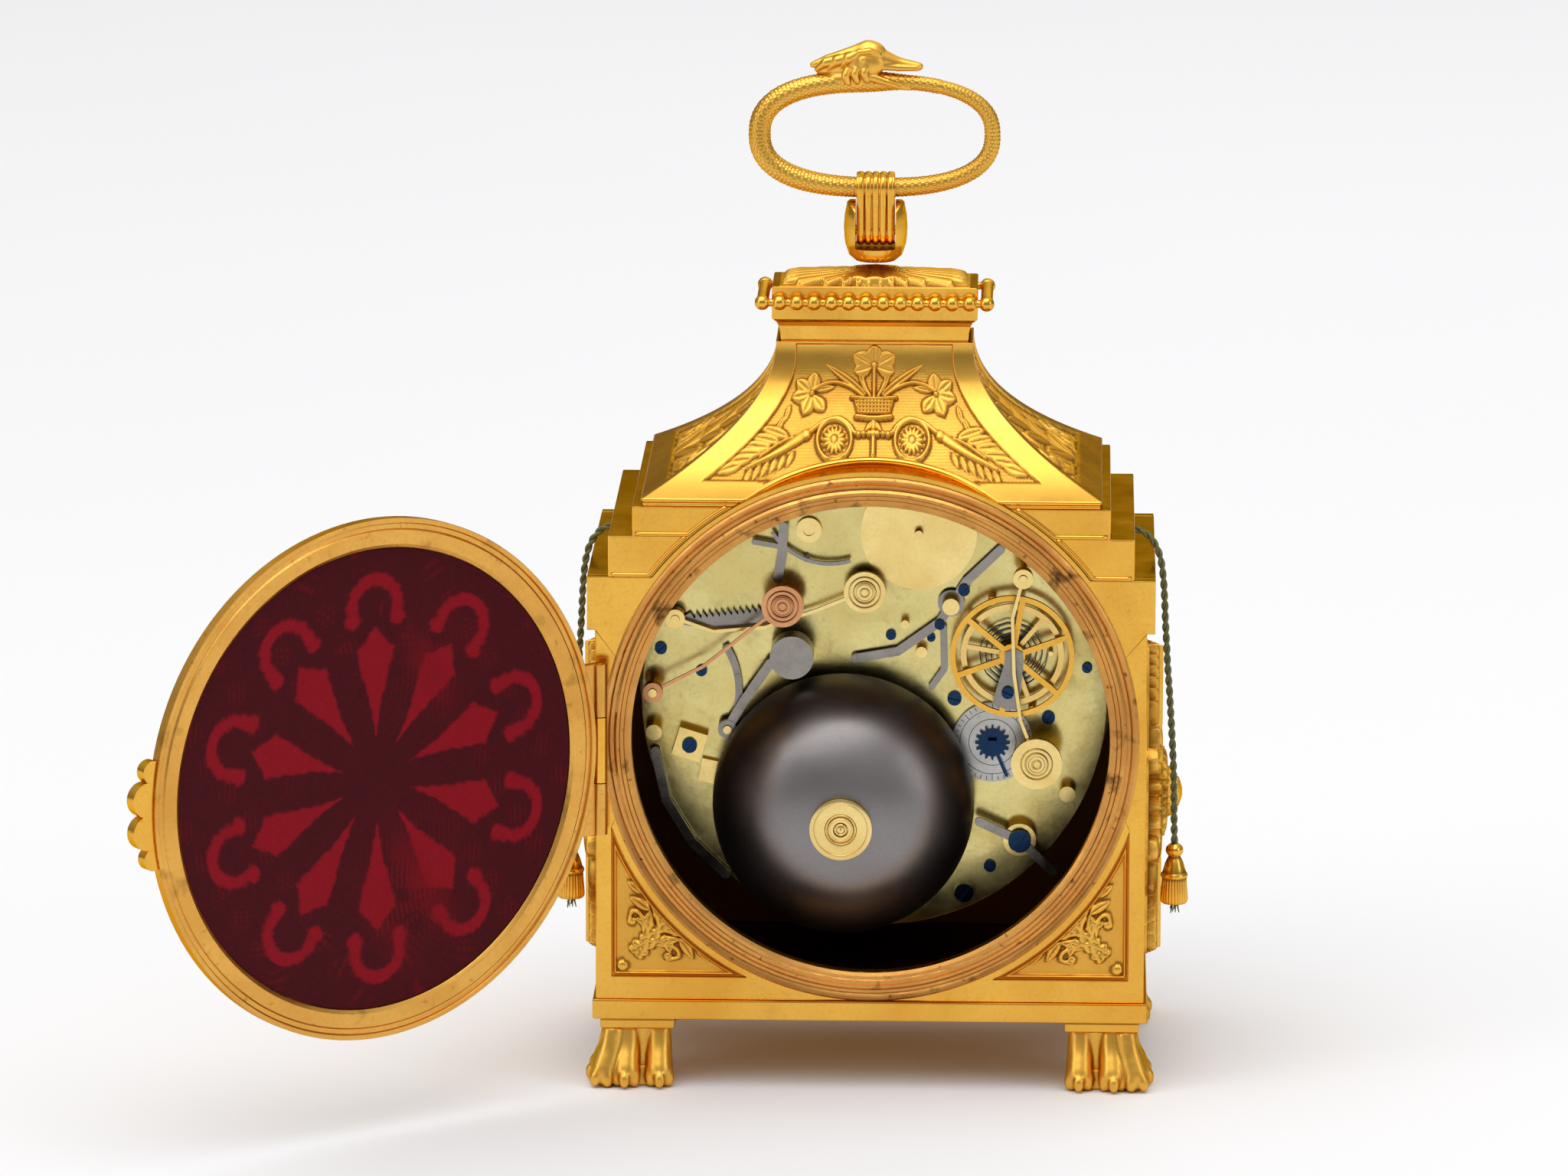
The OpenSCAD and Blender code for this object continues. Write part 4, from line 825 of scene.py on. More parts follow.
def roof_motif(relief):
    """Basket of flowers over two scrolls, torches and wings."""
    r = relief
    for angle, length, wide in ((90, 4.6, 3.7), (150, 5.0, 4.3), (30, 5.0, 4.3), (196, 4.4, 3.8), (-16, 4.4, 3.8)):
        r.leaf((0, 149.2), angle, length, wide, 0.62, 0.22, 1.35)
    for offset in (-2.0, 2.0):
        r.stem([(offset * 0.4, 143.2), (offset * 1.1, 146), (offset * 0.9, 148.6)], 0.8, 0.45, 0.5)
    r.stem([(0, 143), (0, 146), (0, 149.6)], 0.75, 1.0, 0.85)
    r.disc((0, 149.5), 0.72, 0.95, 0.6)

    def half(q):
        q.leaf((1.6, 143.4), 39, 10.6, 1.9, 0.55, 0.5, 0.85, bend=-0.06)
        q.leaf((1.2, 143.4), 66, 6.2, 1.2, 0.5, 0.4, 0.8)
        q.stem([(2.2, 143.2), (4.8, 144.9), (7.8, 145.9), (10.6, 145.5), (12.6, 144.3)], 0.7, 0.85, 0.6)
        for angle, length, wide in (
            (98, 4.3, 3.1), (40, 4.2, 3.2), (-12, 4.3, 3.2), (-66, 4.4, 3.3), (-128, 4.2, 3.2)
        ):
            q.leaf((12.9, 143.6), angle, length, wide, 0.6, 0.22, 1.35)
        q.disc((12.9, 143.6), 0.62, 0.85, 0.6)
        q.leaf((12.2, 144.3), 170, 4.2, 1.5, 0.45, 0.4, 0.8)
        q.ring((8.1, 135.2), 3.55, 0.85, 0.62)
        for k in range(14):
            q.leaf((8.1, 135.2), k * 360 / 14, 2.55, 0.85, 0.5, 0.0, 1.4)
        q.disc((8.1, 135.2), 0.85, 0.75, 0.6)
        q.ring((8.1, 135.2), 1.05, 0.3, 0.5)
        q.stem(
            [(2.3, 136.3), (3.9, 136.4), (4.9, 137.7), (7.2, 139.0), (10.2, 138.4), (12.2, 137.2), (13.6, 136.2)],
            0.75, 0.9, 0.66
        )
        for place, size in (((0.9, 136.2), 0.6), ((2.0, 136.2), 0.55), ((3.1, 136.1), 0.6), ((13.9, 136.0), 1.0)):
            q.disc(place, size, 0.85, 0.6)
        q.stem([(14.6, 135.8), (17.0, 134.4), (20.5, 132.6), (26.0, 130.2)], 1.9, 0.45, 0.68)
        q.stem([(16.6, 135.6), (19.5, 134.5), (23.5, 132.2)], 0.5, 0.4, 0.5)
        for k in range(6):
            t = k / 5
            q.leaf((17.5 + 9.5 * t, 135.6 - 4.6 * t), 22 - 30 * t, 6.2 - 0.6 * t, 2.3, 0.5, 0.4, 0.85, bend=-0.12)
            q.leaf((16.5 + 8.5 * t, 133.2 - 2.9 * t), -62 + 8 * t, 3.0, 1.3, 0.4, 0.3, 0.9)
        for k in range(4):
            q.leaf((17.4 + 1.2 * k, 141.5 - 2.2 * k), -70 + 10 * k, 3.4, 1.2, 0.36, 0.4, 0.9)

    mirrored(half, r)
    # basket: rim, woven body and foot
    width = np.interp(r.z, [139.6, 142.4], [3.55, 4.25])
    weave = 0.62 + 0.16 * (np.sin(4.4 * (r.x + r.z)) * np.sin(4.4 * (r.x - r.z)))
    inside = np.minimum(width - np.abs(r.x), np.minimum(142.6 - r.z, r.z - 139.7))
    r.put(np.where(inside > 0, weave * ease(inside / 0.3), 0))
    r.stem([(-4.6, 142.9), (0, 142.6), (4.6, 142.9)], 0.8, 0.8, 0.85)
    r.stem([(-3.6, 139.3), (0, 139.0), (3.6, 139.3)], 1.0, 1.0, 0.8)
    r.stem([(0, 138.8), (0, 137.2), (0, 131.4)], 1.1, 1.1, 0.55)
    r.leaf((-0.1, 138.4), 225, 2.4, 1.2, 0.5, 0.2)
    r.leaf((0.1, 138.4), -45, 2.4, 1.2, 0.5, 0.2)
    r.disc((0, 136.3), 0.75, 0.85, 0.6)


def side_motif(relief):
    """Acanthus stem with paired leaves and two flowers, for the narrow sides of the roof."""
    r = relief
    r.stem([(0, 126.5), (0, 138), (0, 150)], 1.1, 0.6, 0.6)
    r.flower((0, 150.2), 2.6, 5, 90, 0.6)

    def half(q):
        for k in range(7):
            t = k / 6
            q.leaf((0.3, 128.5 + 17.5 * t), 24 + 34 * t, 9.5 - 6.2 * t, 3.0 - 1.4 * t, 0.6, 0.4, 0.8, bend=-0.12)
        q.stem([(1, 127.0), (7, 127.6), (13, 128.2), (20, 127.2)], 0.9, 0.6, 0.6)
        q.ring((15.0, 130.6), 2.0, 0.7, 0.55)
        q.disc((15.0, 130.6), 0.8, 0.7, 0.6)
        for k in range(5):
            q.leaf((8.5 + 3.2 * k, 128.0 - 0.25 * k), 58 - 16 * k, 4.6, 1.7, 0.5, 0.4, 0.85, bend=-0.1)
        q.leaf((11.5, 131.8), 116, 4.4, 1.7, 0.5, 0.4, 0.85)

    mirrored(half, r)


# ---------------------------------------------------------------- roof faces
ROOF_FOOT_Z = 124.9
ROOF_TOP_Z = 154.4
ROOF_BIG = (19.6, 47.4)
ROOF_SMALL = (7.6, 33.3)
ROOF_POWER = 2.1
ARCH_R = 56.5
AXIS_Z = 75.0
LIP = 0.95
ROOF_GROUND = 0.8


def roof_slope(z):
    """How fast both profiles run out as they go down, on average."""
    t = np.clip((z - ROOF_FOOT_Z) / (ROOF_TOP_Z - ROOF_FOOT_Z), 0, 1)
    return 26.75 * ROOF_POWER * (1 - t) ** (ROOF_POWER - 1) / (ROOF_TOP_Z - ROOF_FOOT_Z)


def roof_profile(size, z):
    t = np.clip((z - ROOF_FOOT_Z) / (ROOF_TOP_Z - ROOF_FOOT_Z), 0, 1)
    return size[0] + (size[1] - size[0]) * (1 - t) ** ROOF_POWER + LIP / np.sqrt(1 + roof_slope(z) ** 2)


def roof_face(name, across, out, draw, turn, arched, border, nu, nv):
    """One curved roof face: polished borders, a sunken matt ground and its relief.

    across and out are the sizes of the profile along the face and of the face's own distance;
    turn is the rotation about Z that brings the -Y face to its place."""
    s = np.linspace(-1, 1, nu)[:, None]
    t = np.linspace(0, 1, nv)[None, :]
    foot = np.full((nu, 1), ROOF_FOOT_Z)
    if arched:
        for i in range(nu):
            z = ROOF_FOOT_Z
            for _ in range(40):
                x = s[i, 0] * roof_profile(across, z)
                arch = AXIS_Z + math.sqrt(max(ARCH_R ** 2 - min(abs(x), ARCH_R) ** 2, 0))
                z = 0.5 * z + 0.5 * max(ROOF_FOOT_Z, arch)
            foot[i, 0] = z
    z = foot + (ROOF_TOP_Z - foot) * t
    hip = roof_profile(across, z)
    x = s * hip
    y = -roof_profile(out, z)
    level = (z - ROOF_FOOT_Z) / (ROOF_TOP_Z - ROOF_FOOT_Z)
    inset = np.minimum(hip - np.abs(x) - (border[0] + (border[1] - border[0]) * level), ROOF_TOP_Z - 0.4 - z)
    low_edge = ROOF_FOOT_Z + border[2]
    if arched:
        arc = np.hypot(x, z - AXIS_Z) - ARCH_R - 0.5
        inset = np.minimum(inset, np.where(np.abs(x) < 22, arc, np.minimum(arc, z - low_edge)))
    else:
        inset = np.minimum(inset, z - low_edge)
    panel = ease(inset / 0.35)
    relief = Relief(x, z)
    draw(relief)
    grain = 0.05 * np.sin(8.5 * (x + 0.9 * z)) * np.sin(8.5 * (x - 0.5 * z)) * (relief.h < 0.05)
    height = panel * (-ROOF_GROUND + relief.h * ease(inset / 0.8) * 1.5 + grain)
    slope = roof_slope(z)
    size = np.sqrt(1 + slope ** 2)
    top = np.stack([x, y - height / size, z + (LIP + height) * slope / size], -1)
    low = np.stack([x - 0.7 * np.sign(s) * np.minimum(np.abs(s) * 3, 1) * np.ones_like(z), y + 0.7, z - 0.1], -1)
    angle = math.radians(turn)
    spin = np.array([[math.cos(angle), -math.sin(angle), 0], [math.sin(angle), math.cos(angle), 0], [0, 0, 1]])
    piece = raised_solid(name, top @ spin.T, low @ spin.T, M["relief_gilt"])
    finish_relief(piece, panel * np.clip(1.15 - relief.h, 0.35, 1), 5, 0.10)


roof_face("roof_face_rear", ROOF_BIG, ROOF_SMALL, roof_motif, 0, True, (7.2, 4.0, 3.1), 330, 150)
roof_face("roof_face_front", ROOF_BIG, ROOF_SMALL, roof_motif, 180, True, (7.2, 4.0, 3.1), 240, 110)
roof_face("roof_face_right", ROOF_SMALL, ROOF_BIG, side_motif, 90, False, (3.6, 1.9, 2.6), 220, 150)
roof_face("roof_face_left", ROOF_SMALL, ROOF_BIG, side_motif, -90, False, (3.6, 1.9, 2.6), 220, 150)


# ---------------------------------------------------------------- corner panels
POCKET_X = 54.0
POCKET_Z = 23.8
POCKET_R = 57.3
POCKET_Y = -33.1


def corner_motif(relief):
    """Two acanthus sprays mirrored about the corner's diagonal, with a rosette and a corner ball."""
    r = relief
    corner = (POCKET_X, POCKET_Z)

    def spray(place):
        # place maps lengths from the corner (along the foot, along the side) to a point
        def at(u, v):
            return place(u, v)

        def leaf(u, v, angle, length, width, tall=0.75, bend=0.0):
            a = math.radians(angle)
            base, tip = at(u, v), at(u + length * math.cos(a), v + length * math.sin(a))
            turned = math.degrees(math.atan2(tip[1] - base[1], tip[0] - base[0]))
            flip = 1 if place is straight else -1
            r.leaf(base, turned, length, width, tall, 0.4, 0.85, bend * flip)

        r.stem([at(2.6, 4.6), at(7.2, 6.4), at(11.8, 4.8), at(12.6, 2.9), at(10.3, 2.2)], 1.2, 1.0, 0.9)
        r.stem([at(5.0, 7.0), at(9.0, 8.6), at(14.0, 7.2), at(18.6, 4.4), at(24.2, 1.7)], 1.5, 0.8, 0.85)
        for u, v, angle, length, width, bend in (
            (8.0, 7.8, 48, 5.0, 2.3, -0.12), (11.0, 7.6, 26, 5.2, 2.3, -0.12), (14.0, 6.4, 8, 5.2, 2.0, -0.12),
            (17.4, 4.6, -6, 5.0, 1.7, -0.1), (12.8, 6.6, -48, 4.4, 1.9, 0.14), (16.4, 4.8, -40, 3.4, 1.5, 0.14),
            (9.4, 7.6, -62, 3.8, 1.8, 0.12), (5.4, 7.6, 70, 4.6, 2.2, -0.1), (20.4, 3.0, -20, 3.6, 1.2, 0.1),
        ):
            leaf(u, v, angle, length * 1.15, width * 1.35, 0.95, bend)
        r.disc(at(10.4, 2.9), 0.95, 0.8, 0.6)

    def straight(u, v):
        return (corner[0] - 1.4 - u, corner[1] + 1.4 + v)

    def crossed(u, v):
        return (corner[0] - 1.4 - v, corner[1] + 1.4 + u)

    spray(straight)
    spray(crossed)
    r.flower((corner[0] - 6.0, corner[1] + 6.0), 2.2, 6, 45, 0.85)
    r.disc((corner[0] - 2.3, corner[1] + 2.3), 1.25, 0.95, 0.6)
    r.leaf((corner[0] - 7.6, corner[1] + 7.6), 135, 4.6, 2.4, 0.8)


def corner_panel(name, side, face):
    """Relief on the floor of a sunken corner panel, with a fillet along its border."""
    n = 150
    u = np.linspace(0, 1, n)[:, None]
    v = np.linspace(0, 1, n)[None, :]
    inner_x = math.sqrt(POCKET_R ** 2 - (AXIS_Z - POCKET_Z) ** 2)
    side_z = AXIS_Z - math.sqrt(POCKET_R ** 2 - POCKET_X ** 2)
    low_angle = math.atan2(POCKET_Z - AXIS_Z, inner_x)
    high_angle = math.atan2(side_z - AXIS_Z, POCKET_X)
    angle = low_angle + (high_angle - low_angle) * u
    arc_x, arc_z = POCKET_R * np.cos(angle), AXIS_Z + POCKET_R * np.sin(angle)
    edge_x = inner_x + (POCKET_X - inner_x) * np.clip(u * 2, 0, 1)
    edge_z = POCKET_Z + (side_z - POCKET_Z) * np.clip(u * 2 - 1, 0, 1)
    x = arc_x + (edge_x - arc_x) * v
    z = arc_z + (edge_z - arc_z) * v
    to_border = np.minimum(np.minimum(POCKET_X - x, z - POCKET_Z), np.hypot(x, z - AXIS_Z) - POCKET_R)
    relief = Relief(x, z)
    corner_motif(relief)
    fillet = 0.75 * np.exp(-(((to_border - 0.75) / 0.3) ** 2))
    height = np.maximum(relief.h * ease((to_border - 0.6) / 0.6) * 1.2, fillet) + 0.06
    floor = -POCKET_Y
    top = np.stack([side * x, face * (floor + height), z], -1)
    low = np.stack([side * x, np.full_like(x, face * (floor - 0.15)), z], -1)
    piece = raised_solid(name, top, low, M["relief_gilt"])
    finish_relief(piece, np.clip(1.1 - height, 0.3, 1), 4, 0.12)


for where, face in (("rear", -1), ("front", 1)):
    corner_panel("corner_panel_%s_left" % where, -1, face)
    corner_panel("corner_panel_%s_right" % where, 1, face)


# ---------------------------------------------------------------- serpent handle
GRIP_Z = 185.7
RING_W = 24.3
RING_H = 11.2


def handle_point(a):
    c, s = math.cos(a), math.sin(a)
    return (
        RING_W * math.copysign(abs(c) ** 0.78, c),
        0.0,
        GRIP_Z + RING_H + RING_H * math.copysign(abs(s) ** 0.82, s),
    )


def serpent_body():
    """The serpent's scaly body, thinner towards the tail that enters its mouth."""
    start, end = math.radians(62.0), math.radians(62.0 + 360.0)
    coarse = [handle_point(start + (end - start) * i / 600) for i in range(600)]
    coarse = np.array(coarse + coarse[:1])
    along = np.concatenate([[0], np.cumsum(np.linalg.norm(np.diff(coarse, axis=0), axis=1))])
    count = 860
    even = np.linspace(0, along[-1], count, endpoint=False)
    path = np.stack([np.interp(even, along, coarse[:, k]) for k in range(3)], 1)
    f = even / along[-1]
    # thick from the neck round to the foot of the ring, thin at the tail
    radius = 1.45 + 0.85 * np.minimum(1, (1 - f) * 360 / 190)
    radius = np.where(f < 0.12, 1.95 + 0.35 * ease(f / 0.12), radius)
    blend = ease((f - 0.04) / 0.1)
    radius = np.where(f < 0.14, 1.55 + (radius - 1.55) * blend, radius)
    sides = 60
    row = even / 0.78
    cell = np.floor(row)
    lu = row - cell
    around = np.arange(sides) / sides * 15
    shift = around[None, :] + 0.5 * (cell[:, None] % 2)
    lv = 2 * (shift - np.floor(shift)) - 1
    scale = np.clip(1 - lv ** 2 * 0.9, 0, 1) * (lu[:, None] ** 0.9)
    bump = 0.17 * scale - 0.09
    verts, faces = sweep(path, radius, sides, closed=True, bump=bump)
    return verts, faces


def serpent_head_shapes():
    shapes = []
    for s in (-1, 1):
        # cheeks, brow, eye and nostril ridge on both sides
        shapes.append(ball((-2.4, s * 1.3, 212.0), (4.2, 1.8, 3.0)))
        shapes.append(ball((-2.8, s * 2.5, 213.1), 0.72))
        shapes += limb(
            [(-5.2, s * 2.0, 213.2), (-3.6, s * 2.5, 214.6), (-1.4, s * 2.5, 214.9), (0.6, s * 1.9, 214.0)],
            [0.35, 0.5, 0.55, 0.45]
        )
        for k, (x, z) in enumerate(((-2.0, 211.6), (-4.0, 211.4), (-5.9, 211.0))):
            shapes += limb(
                [(x, s * 2.3, z), (x - 0.5, s * 2.8, z - 1.3), (x + 0.1, s * 2.5, z - 3.0)], [0.7, 0.75, 0.45]
            )
        for k, (a, b, wide) in enumerate(
            (
                ((-3.4, 214.6), (-7.4, 211.4), 1.0), ((-5.4, 214.0), (-10.0, 210.9), 1.0),
                ((-7.6, 213.4), (-12.6, 210.6), 0.9)
            )
        ):
            mid = ((a[0] + b[0]) / 2 - 0.4, s * (2.4 - 0.4 * k), (a[1] + b[1]) / 2 + 0.3)
            shapes += limb(
                [(a[0], s * (2.0 - 0.4 * k), a[1]), mid, (b[0], s * (1.7 - 0.4 * k), b[1])], [0.6 * wide, wide, 0.3],
                8
            )
    # skull, crest and beak
    shapes.append(ball((-1.4, 0, 213.6), (3.6, 2.5, 3.1)))
    shapes += limb(
        [(-1.6, 0, 215.4), (-6.0, 0, 213.8), (-10.0, 0, 212.6), (-13.3, 0, 211.5)], [1.35, 1.2, 1.0, 0.55], 14
    )
    shapes += limb([(-6, 0, 211.4), (-11.6, 0, 210.6)], [2.0, 1.1], 10)
    shapes += limb([(0.6, 0, 213.0), (4.4, 0, 211.9), (9.0, 0, 211.3)], [2.0, 1.25, 0.75], 16)
    for s in (-1, 1):
        shapes += limb([(0.5, s * 1.3, 211.6), (4.6, s * 1.1, 211.2), (8.6, s * 0.6, 211.0)], [0.75, 0.65, 0.5], 14)
        shapes += limb(
            [(-1.0, s * 1.9, 209.3), (2.4, s * 1.85, 208.2), (5.0, s * 1.5, 207.3), (7.0, s * 0.8, 206.8)],
            [0.95, 0.72, 0.55, 0.4], 10
        )
    # throat and lower jaw
    shapes += limb([(-8.2, 0, 208.4), (-3.5, 0, 208.6), (0.6, 0, 208.2)], [2.15, 2.3, 1.5], 14)
    shapes += limb([(0.6, 0, 207.7), (3.8, 0, 207.3), (6.7, 0, 206.9)], [1.15, 0.75, 0.35], 12)
    return shapes


def serpent_handle():
    verts, faces = serpent_body()
    body = outward(mesh_piece("serpent_body", verts, faces, M["matt_gilt"]))
    add_crevices(body, 3, 0.05)
    head = sculpt("serpent_head", serpent_head_shapes(), 0.17, 0.10, M["matt_gilt"])
    add_crevices(head, 7, 0.16)
    for piece in (body, head):
        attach(piece, "handle")
    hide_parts("serpent_handle")


serpent_handle()


# ---------------------------------------------------------------- petal cap
CAP_Z = 166.0


def petal_cap():
    """Flat radiating petals under the fork, with a shorter flower in front and behind."""
    nx, ny = 240, 110
    x = np.linspace(-19.9, 19.9, nx)[:, None] * np.ones((1, ny))
    y = np.linspace(-8.0, 8.0, ny)[None, :] * np.ones((nx, 1))
    angle = np.arctan2(y * 1.5, x)
    r = np.hypot(x / 19.8, y / 7.9)
    edge = np.maximum(np.abs(x) / 19.7, np.abs(y) / 7.8)
    petals = 30
    saw = np.abs(((angle / (2 * np.pi) * petals) % 1) - 0.5) * 2
    reach = 0.93 + 0.07 * np.cos(angle * petals)
    inside = np.clip((reach - edge) / 0.05, 0, 1)
    base = 2.5 - 1.05 * r + 1.5 * np.exp(-((r / 0.22) ** 2))
    ridge = 0.95 * np.sqrt(np.clip(1 - saw ** 2, 0, 1)) - 0.25 * (saw < 0.16)
    height = ease(inside) * np.clip(base + ridge * np.clip(r * 4, 0, 1) - 0.75, 0.3, 4.3)
    for sign in (-1, 1):
        d = np.hypot(x / 7.5, (y - sign * 3.2) / 4.4)
        local = np.arctan2(sign * (y - sign * 1.6) * 1.4, x)
        lobes = np.abs(np.cos(local * 6))
        flower = (2.9 - 1.0 * d) * ease((1 - d) / 0.12) * (0.82 + 0.18 * lobes) * (sign * y > 0)
        height = np.maximum(height, flower)
    height = np.clip(height, 0.06, 4.35)
    top = np.stack([x, y, CAP_Z + height], -1)
    low = np.stack([x, y, np.full_like(x, CAP_Z - 0.2)], -1)
    piece = raised_solid("petal_rosette", top, low, M["relief_gilt"])
    finish_relief(piece, np.full(nx * ny, 0.5), 4, 0.14, "petal_cap")


petal_cap()


# ---------------------------------------------------------------- paw feet
FOOT = (48.6, 26.6)


def paw_shapes():
    """A corner paw: five toes round the two outer sides, each with a claw."""
    shapes = [("box", (-0.3, -0.3, 6.4), (5.9, 5.9, 6.1)), ("box", (0.2, 0.2, 2.2), (6.6, 6.6, 2.1))]
    toes = [((-4.3, 0.0), (-0.04, 1.0), 1.0), ((1.7, 0.4), (0.10, 1.0), 1.0), ((2.6, 2.6), (0.707, 0.707), 0.92),
            ((0.4, 1.7), (1.0, 0.10), 1.0), ((0.0, -4.3), (1.0, -0.04), 1.0)]
    for (bx, by), (dx, dy), far in toes:
        def at(reach, z):
            return (bx + dx * reach * far, by + dy * reach * far, z)
        shapes += limb(
            [at(4.0, 11.6), at(4.6, 8.6), at(5.9, 5.6), at(6.9, 3.6), at(7.1, 2.4)], [2.3, 2.4, 2.5, 2.55, 2.2], 7
        )
        side = (-dy, dx)
        for s in (-1, 1):
            pad = at(7.6, 2.0)
            shapes.append(ball((pad[0] + s * 1.75 * side[0], pad[1] + s * 1.75 * side[1], 2.1), (1.35, 1.35, 2.0)))
        shapes += limb([at(8.6, 3.6), at(9.45, 2.4), at(9.7, 1.1)], [0.75, 0.95, 0.7], 7)
    return shapes


def paw_feet():
    cast = sculpt("paw_cast", paw_shapes(), 0.27, 0.16, M["relief_gilt"])
    n = len(cast.data.vertices)
    co = np.empty(n * 3)
    cast.data.vertices.foreach_get("co", co)
    co = co.reshape(-1, 3)
    co[:, 2] = np.clip(co[:, 2], 0.0, 12.55 * MM)
    polys = [list(p.vertices) for p in cast.data.polygons]
    bpy.data.objects.remove(cast)
    parts = []
    for sx in (-1, 1):
        for sy in (-1, 1):
            moved = co / MM * (sx, sy, 1) + (sx * FOOT[0], sy * FOOT[1], 0)
            parts.append((moved, polys))
    verts, faces = join_parts(parts)
    feet = outward(mesh_piece("paws", verts, faces, M["relief_gilt"]))
    set_attribute(feet, "matt", np.full(len(feet.data.vertices), 0.35))
    add_crevices(feet, 6, 0.16)
    caps = []
    for sx in (-1, 1):
        for sy in (-1, 1):
            x, y = sx * FOOT[0], sy * FOOT[1]
            box = [
                (x + a * 7.8, y + b * 7.8, z) for z in (12.6, 14.8) for a, b in ((-1, -1), (1, -1), (1, 1), (-1, 1))
            ]
            caps.append((box, [(3, 2, 1, 0), (4, 5, 6, 7), (0, 1, 5, 4), (1, 2, 6, 5), (2, 3, 7, 6), (3, 0, 4, 7)]))
    verts, faces = join_parts(caps)
    cap = mesh_piece("paw_caps", verts, faces, M["polished_gilt"], smooth=False)
    edge = cap.modifiers.new("soft_edge", "BEVEL")
    edge.width = 0.45 * MM
    edge.segments = 3
    for piece in (feet, cap):
        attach(piece, "case")
    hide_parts("paw_feet")


paw_feet()


# ---------------------------------------------------------------- side mounts
def side_mount(name, side):
    """Pierced-looking acanthus mount with a radiating boss, cast in one."""
    n, m = 150, 250
    v = np.linspace(21.2, 89.4, m)[None, :]
    outline_z = [21, 23, 30, 38, 46, 56, 66, 73, 82, 88, 89.5]
    outline_w = [0.8, 7, 11, 10, 17, 19, 17, 10, 8, 4, 0.8]
    wide = np.interp(v, outline_z, outline_w)
    scallop = 1 - 0.07 * np.abs(np.sin(v * 0.52))
    u = np.linspace(-1, 1, n)[:, None]
    y = u * wide * scallop
    z = v * np.ones_like(u)
    relief = Relief(y, z)
    center = (0.0, 56.5)
    for k in range(20):
        relief.leaf(center, k * 18, 15.4, 4.6, 3.4, 0.18, 1.25)
    for k in range(20):
        relief.leaf(center, k * 18 + 9, 9.6, 2.9, 4.6, 0.2, 1.15)
    relief.disc(center, 4.0, 7.4, 0.75)
    relief.ring(center, 4.9, 1.0, 5.6)

    def half(q):
        for k in range(6):
            t = k / 5
            q.leaf((0.4, 71.0 + 13.0 * t), 52 + 26 * t, 9.5 - 4.5 * t, 4.2 - 2.0 * t, 2.5, 0.35, 0.85, bend=-0.14)
            q.leaf((0.4, 43.0 - 17.0 * t), -48 - 26 * t, 11.0 - 5.0 * t, 4.6 - 2.0 * t, 2.5, 0.35, 0.85, bend=0.14)
        q.ring((12.5, 66.0), 2.2, 1.1, 2.2)
        q.ring((12.5, 47.0), 2.2, 1.1, 2.2)

    mirrored(half, relief)
    relief.stem([(0, 22.5), (0, 42)], 1.4, 2.0, 3.0)
    relief.stem([(0, 88), (0, 71)], 1.2, 2.0, 3.0)
    border = ease((1 - np.abs(u)) / 0.05) * ease(np.minimum(v - 21.2, 89.4 - v) / 1.5)
    height = 0.3 + border * (0.5 + relief.h)
    height = np.minimum(height, 8.0)
    base = 57.3
    top = np.stack([side * (base + height), y, z], -1)
    low = np.stack([np.full_like(z, side * (base - 0.2)), y, z], -1)
    piece = raised_solid(name, top, low, M["relief_gilt"])
    finish_relief(piece, np.clip(0.9 - 0.12 * height, 0.2, 1), 6, 0.3, "side_mounts")


side_mount("side_mount_left", -1)
side_mount("side_mount_right", 1)


# ---------------------------------------------------------------- step mouldings and arch bead
def moulding(name, runs):
    """Thin half-round mouldings along lists of points on the rear and front faces."""
    parts = []
    for points, radius in runs:
        parts.append(sweep(points, np.full(len(points), radius), 10))
    verts, faces = join_parts(parts)
    piece = outward(mesh_piece(name, verts, faces, M["polished_gilt"]))
    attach(piece, "case")


def arc_points(radius, a0, a1, y, count=40):
    return [
        (radius * math.cos(a), y, AXIS_Z + radius * math.sin(a))
        for a in np.linspace(math.radians(a0), math.radians(a1), count)
    ]


def step_runs(face):
    """The fillet under each step and along its arch side."""
    runs = []
    y = face * 34.0
    for z0, z1, half in ((109.3, 118.0, 54.6), (118.0, 124.3, 49.6)):
        edge = 57.0 + 0.75
        low = math.degrees(math.asin((z0 + 0.5 - AXIS_Z) / edge))
        high = math.degrees(math.asin(min((z1 - AXIS_Z) / edge, 1)))
        for s in (-1, 1):
            arc = [(s * x, yy, z) for x, yy, z in arc_points(edge, low, high, y, 14)]
            foot = [(s * x, y, z0 + 0.5) for x in np.linspace(half - 0.6, abs(arc[0][0]), 8)]
            runs.append((foot + arc[1:], 0.5))
    return runs


moulding("step_fillets", step_runs(-1) + step_runs(1))


# ---------------------------------------------------------------- door silk
DOOR_HINGE = (-56.2, -37.4)
DOOR_OPEN = 142
SILK_R = 48.1
SILK_Y = -37.15


def door_pose(points):
    """Closed-door coordinates to where the door stands at rest."""
    a = math.radians(-DOOR_OPEN)
    p = np.asarray(points, float) - (*DOOR_HINGE, 0)
    spin = np.array([[math.cos(a), -math.sin(a), 0], [math.sin(a), math.cos(a), 0], [0, 0, 1]])
    return p @ spin.T + (*DOOR_HINGE, 0)


